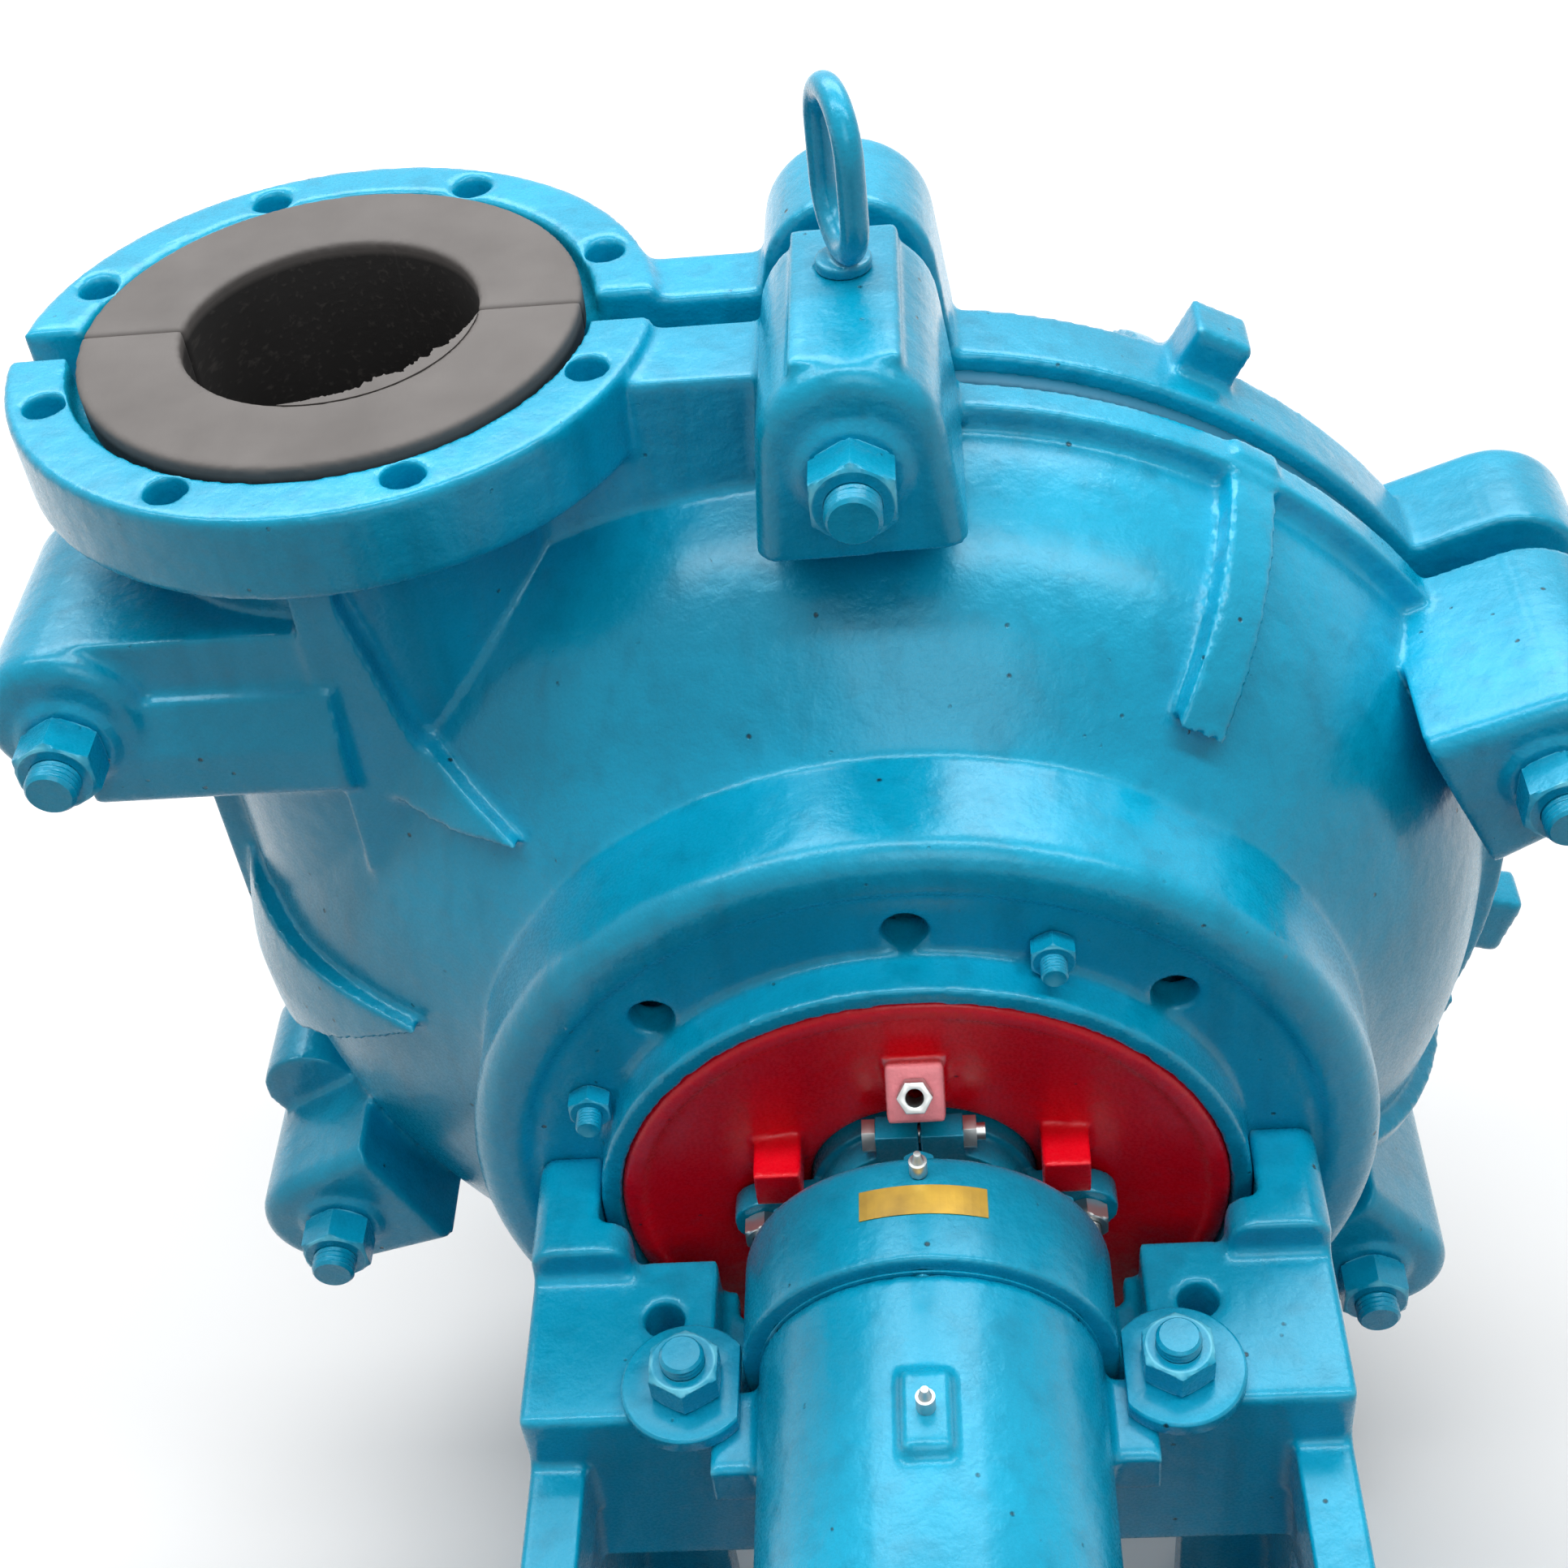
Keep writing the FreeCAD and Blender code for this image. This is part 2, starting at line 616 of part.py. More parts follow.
def frame_plate():
    """Drive side casing half: it carries the drum that bolts to the base and holds the gland."""
    tight = RIM_RADIUS - DOME_INSET
    sections = [(-HALF_GAP - 8, tight, 1.0), (-HALF_GAP - RIM_THICK, tight - 1, 1.0),
                (-62, tight - 9, 0.95), (-104, tight - 30, 0.72), (-134, tight - 57, 0.35),
                (DRUM_START_Y - 8, DRUM_RADIUS, 0.0)]
    pieces = casing_half_outside(-1, sections, LUG_FRONT_Y, RIM_THICK, FRAME_BAR_THICK)
    drum = turned([(SPIGOT_RADIUS - 20, DRUM_START_Y + 30), (DRUM_RADIUS, DRUM_START_Y + 30),
                   (DRUM_RADIUS, DRUM_LIP_Y + 14), (DRUM_RADIUS - 4, DRUM_LIP_Y + 4, 0),
                   (DRUM_RADIUS - 14, DRUM_LIP_Y), (DRUM_LIP_INNER, DRUM_LIP_Y),
                   (DRUM_LIP_INNER - 2, ANNULUS_Y), (SPIGOT_RADIUS, ANNULUS_Y),
                   (SPIGOT_RADIUS, SPIGOT_Y), (BOX_BORE - 5, SPIGOT_Y)])
    pieces.append(drum)
    pieces.append(rod(BOX_BORE, DRUM_START_Y - 10, SPIGOT_Y))
    pieces.append(top_pad())
    for corners in FRAME_RIBS:
        pieces.append(rib(corners, -1, sections))
    pieces.append(neck_strip())
    pieces.append(rod(SIDE_BOSS_RADIUS, -HALF_GAP, -SIDE_BOSS_DEPTH, SIDE_BOSS_X, SIDE_BOSS_Z))
    for x, z in bolt_places():
        pieces.append(rod(SPOT_FACE_RADIUS, LUG_FRONT_Y + 5, LUG_FRONT_Y - SPOT_FACE_RAISE, x, z))
    shape = pieces[0].fuse(pieces[1:])
    ring_space = ring(DRUM_RADIUS - DRUM_WALL, SPIGOT_RADIUS, ANNULUS_Y + ANNULUS_THICK,
                      -CAVITY_DEPTH - CASING_WALL)
    tools = [casing_cavity(-1, 0.0), ring_space, rod(BOX_BORE, SPIGOT_Y - 1, BOX_SEAT_Y),
             rod(BOX_SEAT_BORE, SPIGOT_Y, 0), seal_recess()]
    tools += bolt_holes(CASING_BOLT_RADIUS + BOLT_PLAY)
    tools += flange_holes()
    for step in range(ANNULUS_HOLES):
        x, z = place_on_clock(ANNULUS_HOLE_CIRCLE, 360.0 / ANNULUS_HOLES * step)
        tools.append(rod(ANNULUS_HOLE_RADIUS, DRUM_LIP_Y - 1, ANNULUS_Y + ANNULUS_THICK + 1, x, z))
    for angle in LINER_STUD_ANGLES:
        x, z = place_on_clock(LINER_STUD_CIRCLE, angle)
        tools.append(rod(LINER_STUD_RADIUS + BOLT_PLAY, DRUM_LIP_Y - 1, -CAVITY_DEPTH + 5, x, z))
    x, z = bolt_places()[TOP_BOLT]
    tools.append(eye_stem(x, z))
    tools.append(half_space(-HALF_GAP, BIG))
    return shape.cut(tools)


def cover_plate():
    """Suction side casing half with the suction flange."""
    tight = RIM_RADIUS - DOME_INSET
    sections = [(HALF_GAP + 8, tight, 1.0), (HALF_GAP + COVER_RIM_THICK, tight - 2, 1.0),
                (76, tight - 12, 0.9), (103, tight - 36, 0.7), (CAVITY_DEPTH + CASING_WALL, 215, 0.2)]
    pieces = casing_half_outside(1, sections, LUG_REAR_Y, COVER_RIM_THICK, COVER_BAR_THICK)
    tube = turned([(0, 90), (200, 90), (200, CAVITY_DEPTH + CASING_WALL),
                   (SUCTION_TUBE_RADIUS + 30, CAVITY_DEPTH + CASING_WALL + 6),
                   (SUCTION_TUBE_RADIUS + 6, CAVITY_DEPTH + CASING_WALL + 20, 0),
                   (SUCTION_TUBE_RADIUS, CAVITY_DEPTH + CASING_WALL + 44),
                   (SUCTION_TUBE_RADIUS, SUCTION_FACE_Y - SUCTION_FLANGE_THICK),
                   (SUCTION_FLANGE_RADIUS, SUCTION_FACE_Y - SUCTION_FLANGE_THICK),
                   (SUCTION_FLANGE_RADIUS, SUCTION_FACE_Y), (0, SUCTION_FACE_Y)])
    pieces.append(tube)
    for angle in COVER_RIB_ANGLES:
        corners = straight_rib(angle, SUCTION_TUBE_RADIUS, RIM_RADIUS - 2, COVER_RIB_THICK)
        pieces.append(rib(corners, 1, sections).common(half_space(0, COVER_RIB_DEPTH)))
    for angle, outer, wide, y_from, y_to in COVER_BOSSES:
        boss = block((-wide / 2, wide / 2), (y_from, y_to), (RIM_RADIUS - CASING_WALL / 2, outer))
        boss.rotate(V(0, 0, 0), ALONG, angle)
        pieces.append(boss)
    shape = pieces[0].fuse(pieces[1:])
    tools = [casing_cavity(1, 0.0), rod(SUCTION_LINER_OUTER, 0, BIG), seal_recess()]
    tools += bolt_holes(CASING_BOLT_RADIUS + BOLT_PLAY)
    tools += flange_holes()
    for step in range(SUCTION_HOLES):
        x, z = place_on_clock(SUCTION_PCD_RADIUS, 22.5 + 360.0 / SUCTION_HOLES * step)
        tools.append(rod(SUCTION_HOLE_RADIUS, SUCTION_FACE_Y - SUCTION_FLANGE_THICK - 1, BIG, x, z))
    tools.append(half_space(-BIG, HALF_GAP))
    return shape.cut(tools)


def rubber_half(side, opening_radius):
    """Moulded volute liner half with its clamped lip and half of the discharge seal face."""
    body = casing_cavity(side, RUBBER_FIT)
    body = body.common(block((-BIG, BIG), (0, side * BIG), (-BIG, FLANGE_TOP_Z - SEAL_RECESS_DEPTH)))
    lip = volute_plate(RIM_RADIUS - LIP_INSET, 0, side * HALF_GAP)
    lip_half = DISCHARGE_BORE + LINER_THICK + NECK_WALL
    neck_lip = block((NECK_X - lip_half, NECK_X + lip_half), (0, side * HALF_GAP),
                     (0, FLANGE_TOP_Z - SEAL_RECESS_DEPTH))
    seal = neck_rod(SEAL_FACE_RADIUS, FLANGE_TOP_Z - SEAL_RECESS_DEPTH, FLANGE_TOP_Z + SEAL_FACE_PROUD)
    seal = seal.common(half_space(0, side * BIG))
    shape = body.fuse([lip, neck_lip, seal])
    tools = [wet_space(side), rod(opening_radius + RUBBER_FIT, 0, side * BIG)]
    tools += bolt_holes(CASING_BOLT_RADIUS + BOLT_PLAY)
    return shape.cut(tools).removeSplitter()


def back_liner():
    """Rubber faced disc behind the impeller, pulled in by four studs."""
    shape = turned([(BACK_LINER_BORE, -WEAR_FACE_Y), (BACK_LINER_RADIUS - 8, -WEAR_FACE_Y),
                    (BACK_LINER_RADIUS - 2.3, -WEAR_FACE_Y - 2.3, 0),
                    (BACK_LINER_RADIUS, -WEAR_FACE_Y - 8), (BACK_LINER_RADIUS, -CAVITY_DEPTH),
                    (BACK_LINER_BORE, -CAVITY_DEPTH)])
    sockets = []
    for angle in LINER_STUD_ANGLES:
        x, z = place_on_clock(LINER_STUD_CIRCLE, angle)
        sockets.append(rod(LINER_STUD_RADIUS, -CAVITY_DEPTH - 1, -CAVITY_DEPTH + BACK_STEEL, x, z))
    return shape.cut(sockets)


def throatbush():
    """Rubber wear ring on the suction side with its spigot in the cover plate."""
    return turned([(SUCTION_BORE, WEAR_FACE_Y), (THROAT_RADIUS - 8, WEAR_FACE_Y),
                   (THROAT_RADIUS - 2.3, WEAR_FACE_Y + 2.3, 0), (THROAT_RADIUS, WEAR_FACE_Y + 8),
                   (THROAT_RADIUS, CAVITY_DEPTH), (SUCTION_LINER_OUTER - RUBBER_FIT, CAVITY_DEPTH),
                   (SUCTION_LINER_OUTER - RUBBER_FIT, THROAT_SPIGOT_Y), (SUCTION_BORE, THROAT_SPIGOT_Y)])


def intake_joint():
    """Rubber sleeve through the suction flange; its lip seals against the pipe."""
    return turned([(SUCTION_BORE, THROAT_SPIGOT_Y), (SUCTION_LINER_OUTER - RUBBER_FIT, THROAT_SPIGOT_Y),
                   (SUCTION_LINER_OUTER - RUBBER_FIT, SUCTION_FACE_Y),
                   (SUCTION_LINER_OUTER + 14, SUCTION_FACE_Y), (SUCTION_LINER_OUTER + 14, SUCTION_FACE_Y + 4),
                   (SUCTION_BORE, SUCTION_FACE_Y + 4)])


def vane(start_angle):
    """Backward swept vane between the shrouds: two arcs about one another's side."""
    inner = IMPELLER_EYE * 0.72
    outer = IMPELLER_RADIUS
    sweep = VANE_SWEEP
    half_way = VANE_SWEEP * VANE_MIDDLE

    def point(radius, degrees):
        x, z = place_on_clock(radius, degrees)
        return V(x, 0, z)

    def edge_turn(radius):
        return math.degrees(VANE_THICK / radius)

    mid = (inner + outer) / 2
    lead = [point(inner, start_angle), point(mid, start_angle - half_way),
            point(outer - 1, start_angle - sweep)]
    trail = [point(inner, start_angle + edge_turn(inner)),
             point(mid, start_angle - half_way + edge_turn(mid)),
             point(outer - 1, start_angle - sweep + edge_turn(outer))]
    wire = Part.Wire([Part.Arc(lead[0], lead[1], lead[2]).toShape(),
                      Part.LineSegment(lead[2], trail[2]).toShape(),
                      Part.Arc(trail[2], trail[1], trail[0]).toShape(),
                      Part.LineSegment(trail[0], lead[0]).toShape()])
    low = -IMPELLER_HALF_WIDTH + EXPELLER_RAISE + IMPELLER_SHROUD - 4
    high = IMPELLER_HALF_WIDTH - EXPELLER_RAISE - IMPELLER_SHROUD + 4
    plate = Part.Face(wire).extrude(V(0, high - low, 0))
    plate.translate(V(0, low, 0))
    return plate


def impeller():
    """Closed impeller with swept vanes and thin clearing vanes outside both shrouds."""
    back = IMPELLER_HALF_WIDTH - EXPELLER_RAISE
    inner_back = -(back - IMPELLER_SHROUD)
    rear = turned([(0, -back), (IMPELLER_RADIUS, -back), (IMPELLER_RADIUS, inner_back),
                   (90, inner_back), (60, inner_back + 5, 0), (34, inner_back + 22), (0, inner_back + 26)])
    front = turned([(IMPELLER_EYE, back + EXPELLER_RAISE), (IMPELLER_EYE, back - IMPELLER_SHROUD - 6),
                    (IMPELLER_EYE + 8, back - IMPELLER_SHROUD - 3, 0),
                    (IMPELLER_EYE + 22, back - IMPELLER_SHROUD), (IMPELLER_RADIUS, back - IMPELLER_SHROUD),
                    (IMPELLER_RADIUS, back), (IMPELLER_EYE + 14, back),
                    (IMPELLER_EYE + 14, back + EXPELLER_RAISE)])
    hub = rod(IMPELLER_HUB_RADIUS, IMPELLER_HUB_Y, -back + 2)
    pieces = [rear, front, hub]
    for step in range(VANES):
        pieces.append(vane(360.0 / VANES * step))
    for step in range(VANES + 1):
        angle = 360.0 / (VANES + 1) * step
        for y_low, y_high in ((-IMPELLER_HALF_WIDTH, -back + 1), (back - 1, IMPELLER_HALF_WIDTH)):
            bar = block((-4, 4), (y_low, y_high), (IMPELLER_EYE + 24, IMPELLER_RADIUS - 4))
            bar.rotate(V(0, 0, 0), ALONG, angle)
            pieces.append(bar)
    shape = joined(pieces)
    socket = rod(THREAD_RADIUS + SHAFT_FIT, IMPELLER_HUB_Y - 1, THREAD_END_Y)
    return shape.cut(socket)


def shaft():
    """Stepped shaft from the impeller thread to the keyed drive end."""
    bearing_end = BEARING_REAR_Y - BEARING_WIDTH
    shaft_end = DRIVE_START_Y - DRIVE_LENGTH
    shape = turned([(0, THREAD_END_Y), (THREAD_RADIUS - 2, THREAD_END_Y), (THREAD_RADIUS, THREAD_END_Y - 2),
                    (THREAD_RADIUS, IMPELLER_HUB_Y), (SHAFT_RADIUS, IMPELLER_HUB_Y),
                    (SHAFT_RADIUS, BEARING_SEAT_Y), (BEARING_SEAT_RADIUS, BEARING_SEAT_Y),
                    (BEARING_SEAT_RADIUS, BEARING_FRONT_Y - BEARING_WIDTH),
                    (INNER_RACE - 2, BEARING_FRONT_Y - BEARING_WIDTH), (INNER_RACE - 2, BEARING_REAR_Y),
                    (BEARING_SEAT_RADIUS, BEARING_REAR_Y), (BEARING_SEAT_RADIUS, bearing_end),
                    (LOCKNUT_THREAD_RADIUS, bearing_end), (LOCKNUT_THREAD_RADIUS, DRIVE_START_Y),
                    (DRIVE_RADIUS, DRIVE_START_Y), (DRIVE_RADIUS, shaft_end + 2),
                    (DRIVE_RADIUS - 2, shaft_end), (0, shaft_end)])
    key_start = shaft_end + KEY_END_GAP
    slot = block((-KEY_WIDTH / 2, KEY_WIDTH / 2), (key_start, key_start + KEY_LENGTH),
                 (DRIVE_RADIUS - KEY_DEPTH, BIG))
    slot.rotate(V(0, 0, 0), ALONG, KEY_TURN)
    return shape.cut(slot)


def shaft_sleeve():
    sleeve = ring(SLEEVE_RADIUS, SHAFT_RADIUS, IMPELLER_HUB_Y, labyrinth_span(True)[0])
    return sleeve.cut(sleeve_seal())


def sleeve_seal():
    """Rubber ring in the sleeve's end face, squeezed by the impeller hub."""
    return ring(SLEEVE_RADIUS - SEAL_RING_INSET, SHAFT_RADIUS + SEAL_RING_INSET, IMPELLER_HUB_Y,
                IMPELLER_HUB_Y - SEAL_RING_DEPTH)


def box_seal():
    """Rubber ring between the stuffing box's nose and the back liner."""
    return ring(BOX_SEAL_RADIUS, BOX_SEAL_RADIUS - 2 * SEAL_RING_DEPTH, -CAVITY_DEPTH,
                -CAVITY_DEPTH - SEAL_RING_DEPTH)


def shaft_spacer():
    """Spacer between the front labyrinth and the bearing shoulder of the shaft."""
    return ring(SPACER_RADIUS, SHAFT_RADIUS, labyrinth_span(True)[1], BEARING_SEAT_Y)


# Stuffing box, packing and gland

def box_water_port():
    """Straight drilling from the boss to the lantern ring, and the direction it points out."""
    tilt = math.radians(PORT_TILT)
    return V(0, -math.cos(tilt), math.sin(tilt))


def tilted_block(side, start, length):
    """Square bar along the water port direction, from the port centre."""
    shape = Part.makeBox(side, side, length, V(-side / 2, -side / 2, start))
    shape.rotate(V(0, 0, 0), ACROSS, 90 - PORT_TILT)
    shape.translate(V(0, PORT_Y, PORT_Z))
    return shape


def stuffing_box():
    """Dished box: rim in the frame plate's spigot, barrel forward to the back liner."""
    rim = BOX_BORE - RUBBER_FIT
    inner_rim = rim - BOX_RIM_WIDTH
    barrel = BOX_BARREL_RADIUS
    shape = turned([(rim, BOX_SEAT_Y), (rim, SPIGOT_Y + 2), (rim - 2, SPIGOT_Y), (inner_rim, SPIGOT_Y),
                    (inner_rim - 2, SPIGOT_Y + BOX_RIM_STEP),
                    (inner_rim - 40, BOX_FACE_Y - 5, 0), (PACKING_CHAMBER + 3, BOX_FACE_Y),
                    (PACKING_CHAMBER, BOX_FACE_Y + 3), (PACKING_CHAMBER, NECK_LIP_Y),
                    (NECK_LIP_RADIUS, NECK_LIP_Y), (NECK_LIP_RADIUS, -CAVITY_DEPTH),
                    (barrel, -CAVITY_DEPTH), (barrel, BOX_WEB_Y + 22), (barrel + 24, BOX_WEB_Y + 4),
                    (BOX_SEAT_BORE - RUBBER_FIT, BOX_SEAT_Y)])
    boss = tilted_block(PORT_BOSS_SIDE, -26, 26 + PORT_BOSS_OUT)
    boss = boss.cut(rod(PACKING_CHAMBER + 1, -BIG, BIG))
    ears = []
    for side in (-1, 1):
        x = side * LUG_EAR_X
        ears.append(block((x - LUG_EAR_WIDTH / 2, x + LUG_EAR_WIDTH / 2),
                          (BOX_FACE_Y + 12, LUG_EAR_FRONT_Y), (LUG_EAR_BOTTOM, LUG_EAR_TOP)))
    shape = shape.fuse([boss] + ears)
    out = box_water_port()
    start = V(0, PORT_Y, PORT_Z) - out * 62
    drill = Part.makeCylinder(PORT_RADIUS, 80, start, out)
    drill = drill.cut(rod(SLEEVE_RADIUS + 4, -BIG, BIG))
    socket = Part.makeCylinder(FITTING_FLATS / 2 - 1, 14, V(0, PORT_Y, PORT_Z) + out * (PORT_BOSS_OUT - 12), out)
    tools = [drill, socket, box_seal()]
    for side in (-1, 1):
        tools.append(rod(GLAND_STUD_RADIUS, GLAND_STUD_START_Y, BOX_FACE_Y - 30, side * GLAND_STUD_X, 0))
    return shape.cut(tools)


def seal_water_fitting():
    """Hexagon nipple screwed in the boss, where the clean water for the gland comes in."""
    corner = FITTING_FLATS / math.sqrt(3)
    points = []
    for step in range(6):
        angle = math.radians(60 * step)
        points.append(V(corner * math.cos(angle), corner * math.sin(angle), PORT_BOSS_OUT))
    head = prism(points, FITTING_OUT, UP)
    stem_radius = FITTING_FLATS / 2 - 1
    stem = Part.makeCylinder(stem_radius, 12, V(0, 0, PORT_BOSS_OUT - 12), UP)
    shape = head.fuse(stem)
    shape = shape.cut(Part.makeCylinder(PORT_RADIUS - 1, 40, V(0, 0, PORT_BOSS_OUT - 13), UP))
    shape.rotate(V(0, 0, 0), ACROSS, 90 - PORT_TILT)
    shape.translate(V(0, PORT_Y, PORT_Z))
    return shape


def packing_fit_ring(y_from, length):
    return ring(PACKING_CHAMBER - RUBBER_FIT, SLEEVE_RADIUS + RUN_GAP, y_from, y_from - length)


def neck_ring():
    return packing_fit_ring(NECK_LIP_Y, NECK_RING_LENGTH)


def packing_start():
    return NECK_LIP_Y - NECK_RING_LENGTH


def lantern_start():
    return packing_start() - INNER_PACKINGS * PACKING_LENGTH


def gland_nose_end():
    return lantern_start() - LANTERN_LENGTH - PACKING_LENGTH


def packing_rings():
    rings = []
    for step in range(INNER_PACKINGS):
        rings.append(packing_fit_ring(packing_start() - step * PACKING_LENGTH, PACKING_LENGTH))
    rings.append(packing_fit_ring(lantern_start() - LANTERN_LENGTH, PACKING_LENGTH))
    return Part.makeCompound(rings)


def lantern_ring():
    """Grooved ring that spreads the gland water, with drillings to the sleeve."""
    start = lantern_start()
    shape = packing_fit_ring(start, LANTERN_LENGTH)
    middle = start - LANTERN_LENGTH / 2
    shape = shape.cut(ring(PACKING_CHAMBER + 1, PACKING_CHAMBER - 3, middle - 3, middle + 3))
    for angle in (0, 90):
        hole = Part.makeCylinder(2.5, 2 * PACKING_CHAMBER + 10, V(0, middle, -PACKING_CHAMBER - 5), UP)
        hole.rotate(V(0, 0, 0), ALONG, angle)
        shape = shape.cut(hole)
    return shape


def gland_solid():
    """Whole gland before it is split: nose in the box, two ears, two clamp blocks."""
    nose = ring(PACKING_CHAMBER - RUBBER_FIT, SLEEVE_RADIUS + 2 * RUN_GAP, gland_nose_end(), GLAND_EAR_Y)
    body = rod(GLAND_BODY_RADIUS, GLAND_EAR_Y + 1, GLAND_FRONT_Y)
    ears = block((-GLAND_STUD_X, GLAND_STUD_X), (GLAND_EAR_Y, GLAND_FRONT_Y),
                 (-GLAND_EAR_HALF_HEIGHT, GLAND_EAR_HALF_HEIGHT))
    ends = [rod(GLAND_EAR_HALF_HEIGHT, GLAND_EAR_Y, GLAND_FRONT_Y, side * GLAND_STUD_X, 0) for side in (-1, 1)]
    blocks = block((-GLAND_BLOCK_HALF_WIDTH, GLAND_BLOCK_HALF_WIDTH), (GLAND_EAR_Y, GLAND_FRONT_Y),
                   (-GLAND_BLOCK_TOP, GLAND_BLOCK_TOP))
    outside = joined([body, ears, blocks] + ends)
    outside = outside.cut(rod(SLEEVE_RADIUS + 2 * RUN_GAP, -BIG, BIG))
    shape = outside.fuse(nose)
    tools = [rod(GLAND_STUD_RADIUS + BOLT_PLAY, -BIG, BIG, side * GLAND_STUD_X, 0) for side in (-1, 1)]
    middle = (GLAND_EAR_Y + GLAND_FRONT_Y) / 2
    for side in (-1, 1):
        tools.append(Part.makeCylinder(GLAND_CLAMP_RADIUS + BOLT_PLAY / 2, 200,
                                       V(-100, middle, side * GLAND_CLAMP_Z), ACROSS))
    return shape.cut(tools).removeSplitter()


def gland_half(side):
    return gland_solid().common(block((0.15 * side, side * BIG), (-BIG, BIG), (-BIG, BIG)))


def gland_clamp_bolts():
    """Two cross bolts that hold the gland halves together, each with its nut."""
    bolts = []
    middle = (GLAND_EAR_Y + GLAND_FRONT_Y) / 2
    half = GLAND_BLOCK_HALF_WIDTH
    for side in (-1, 1):
        z = side * GLAND_CLAMP_Z
        stem = Part.makeCylinder(GLAND_CLAMP_RADIUS, 2 * half + GLAND_CLAMP_HEAD + 4, V(-half, middle, z), ACROSS)
        head = cross_hexagon(-half - GLAND_CLAMP_HEAD, -half, middle, z)
        nut = cross_hexagon(half, half + GLAND_CLAMP_HEAD, middle, z)
        bolts.append(joined([stem, head, nut]))
    return Part.makeCompound(bolts)


def cross_hexagon(x_from, x_to, y, z):
    corner = GLAND_CLAMP_FLATS / math.sqrt(3)
    points = []
    for step in range(6):
        angle = math.radians(60 * step)
        points.append(V(x_from, y + corner * math.cos(angle), z + corner * math.sin(angle)))
    return prism(points, x_to - x_from, ACROSS)


def gland_studs():
    studs = [rod(GLAND_STUD_RADIUS, GLAND_STUD_START_Y, GLAND_STUD_END_Y, side * GLAND_STUD_X, 0) for side in (-1, 1)]
    return Part.makeCompound(studs)


def gland_nuts():
    nuts = []
    for side in (-1, 1):
        x = side * GLAND_STUD_X
        nut = hexagon(GLAND_NUT_FLATS, GLAND_FRONT_Y, GLAND_FRONT_Y - GLAND_NUT_THICK, x, 0)
        nuts.append(nut.cut(rod(GLAND_STUD_RADIUS + RUN_GAP, -BIG, BIG, x, 0)))
    return Part.makeCompound(nuts)


# Bearing assembly

def bearing_span(front):
    start = BEARING_FRONT_Y if front else BEARING_REAR_Y
    return start, start - BEARING_WIDTH


def cover_span(front):
    """The y of a cover's joint with the housing and of its outer face."""
    if front:
        joint = HOUSING_FRONT_Y + GASKET_THICK
        return joint, joint + FRONT_COVER_LENGTH
    joint = HOUSING_REAR_Y - GASKET_THICK
    return joint, joint - REAR_COVER_LENGTH


def labyrinth_span(front):
    """The y of a labyrinth's outer and inner end, outside first."""
    outer_face = cover_span(front)[1]
    sign = 1 if front else -1
    return (outer_face + sign * (LABYRINTH_GAP + LABYRINTH_THICK), outer_face - sign * COVER_PLATE_THICK)


def bearing_housing():
    """Cylinder with side rails that lie in the cradle, and the lug of the adjusting screw."""
    pieces = [rod(HOUSING_RADIUS, HOUSING_REAR_Y, HOUSING_FRONT_Y),
              rod(COVER_RADIUS, HOUSING_REAR_Y, HOUSING_REAR_Y + HOUSING_COLLAR)]
    for start, end in RAIL_SPANS:
        pieces.append(block((-RAIL_X, RAIL_X), (start, end), (-RAIL_DEPTH, -RUN_GAP)))
    for y, z in nipple_places()[1:]:
        pieces.append(block((-NIPPLE_PAD_WIDTH / 2, NIPPLE_PAD_WIDTH / 2),
                            (y - NIPPLE_PAD_LENGTH / 2, y + NIPPLE_PAD_LENGTH / 2), (0, z)))
    pieces.append(block((-ADJUST_LUG_HALF_WIDTH, ADJUST_LUG_HALF_WIDTH),
                        (ADJUST_LUG_Y, ADJUST_LUG_Y - ADJUST_LUG_THICK), (ADJUST_Z - ADJUST_LUG_BELOW, 0)))
    shape = joined(pieces)
    tools = [rod(HOUSING_CORE, -BIG, 0)]
    for front in (True, False):
        start, end = bearing_span(front)
        if front:
            tools.append(rod(HOUSING_BORE, HOUSING_FRONT_Y + 1, end))
        else:
            tools.append(rod(HOUSING_BORE, start, HOUSING_REAR_Y - 1))
    tools.append(rod(ADJUST_RADIUS, ADJUST_LUG_Y + 1, ADJUST_LUG_Y - ADJUST_LUG_THICK - 1, 0, ADJUST_Z))
    tools += cover_screw_rods(COVER_SCREW_RADIUS)
    return shape.cut(tools)


def cover_screw_rods(radius):
    rods = []
    for front in (True, False):
        outer = cover_span(front)[1]
        inner = HOUSING_FRONT_Y - COVER_SCREW_REACH if front else HOUSING_REAR_Y + COVER_SCREW_REACH
        for step in range(COVER_SCREWS):
            x, z = place_on_clock(COVER_SCREW_CIRCLE, 360.0 / COVER_SCREWS * step)
            rods.append(rod(radius, inner, outer, x, z))
    return rods


def end_cover(front):
    """Turned end cover; its spigot keeps the bearing's outer ring in place."""
    joint, outer = cover_span(front)
    bearing_start, bearing_end = bearing_span(front)
    toward = bearing_start if front else bearing_end
    sign = 1 if front else -1
    edge = COVER_EDGE
    shape = turned([(COVER_BORE, outer), (COVER_RADIUS - edge, outer),
                    (COVER_RADIUS - edge * 0.3, outer - sign * edge * 0.3, 0),
                    (COVER_RADIUS, outer - sign * edge), (COVER_RADIUS, joint),
                    (HOUSING_BORE - SHAFT_FIT, joint), (HOUSING_BORE - SHAFT_FIT, toward),
                    (OUTER_RACE, toward), (OUTER_RACE, outer - sign * COVER_PLATE_THICK),
                    (COVER_BORE, outer - sign * COVER_PLATE_THICK)])
    return shape.cut(cover_screw_rods(COVER_SCREW_RADIUS + BOLT_PLAY / 2) + nipple_holes())


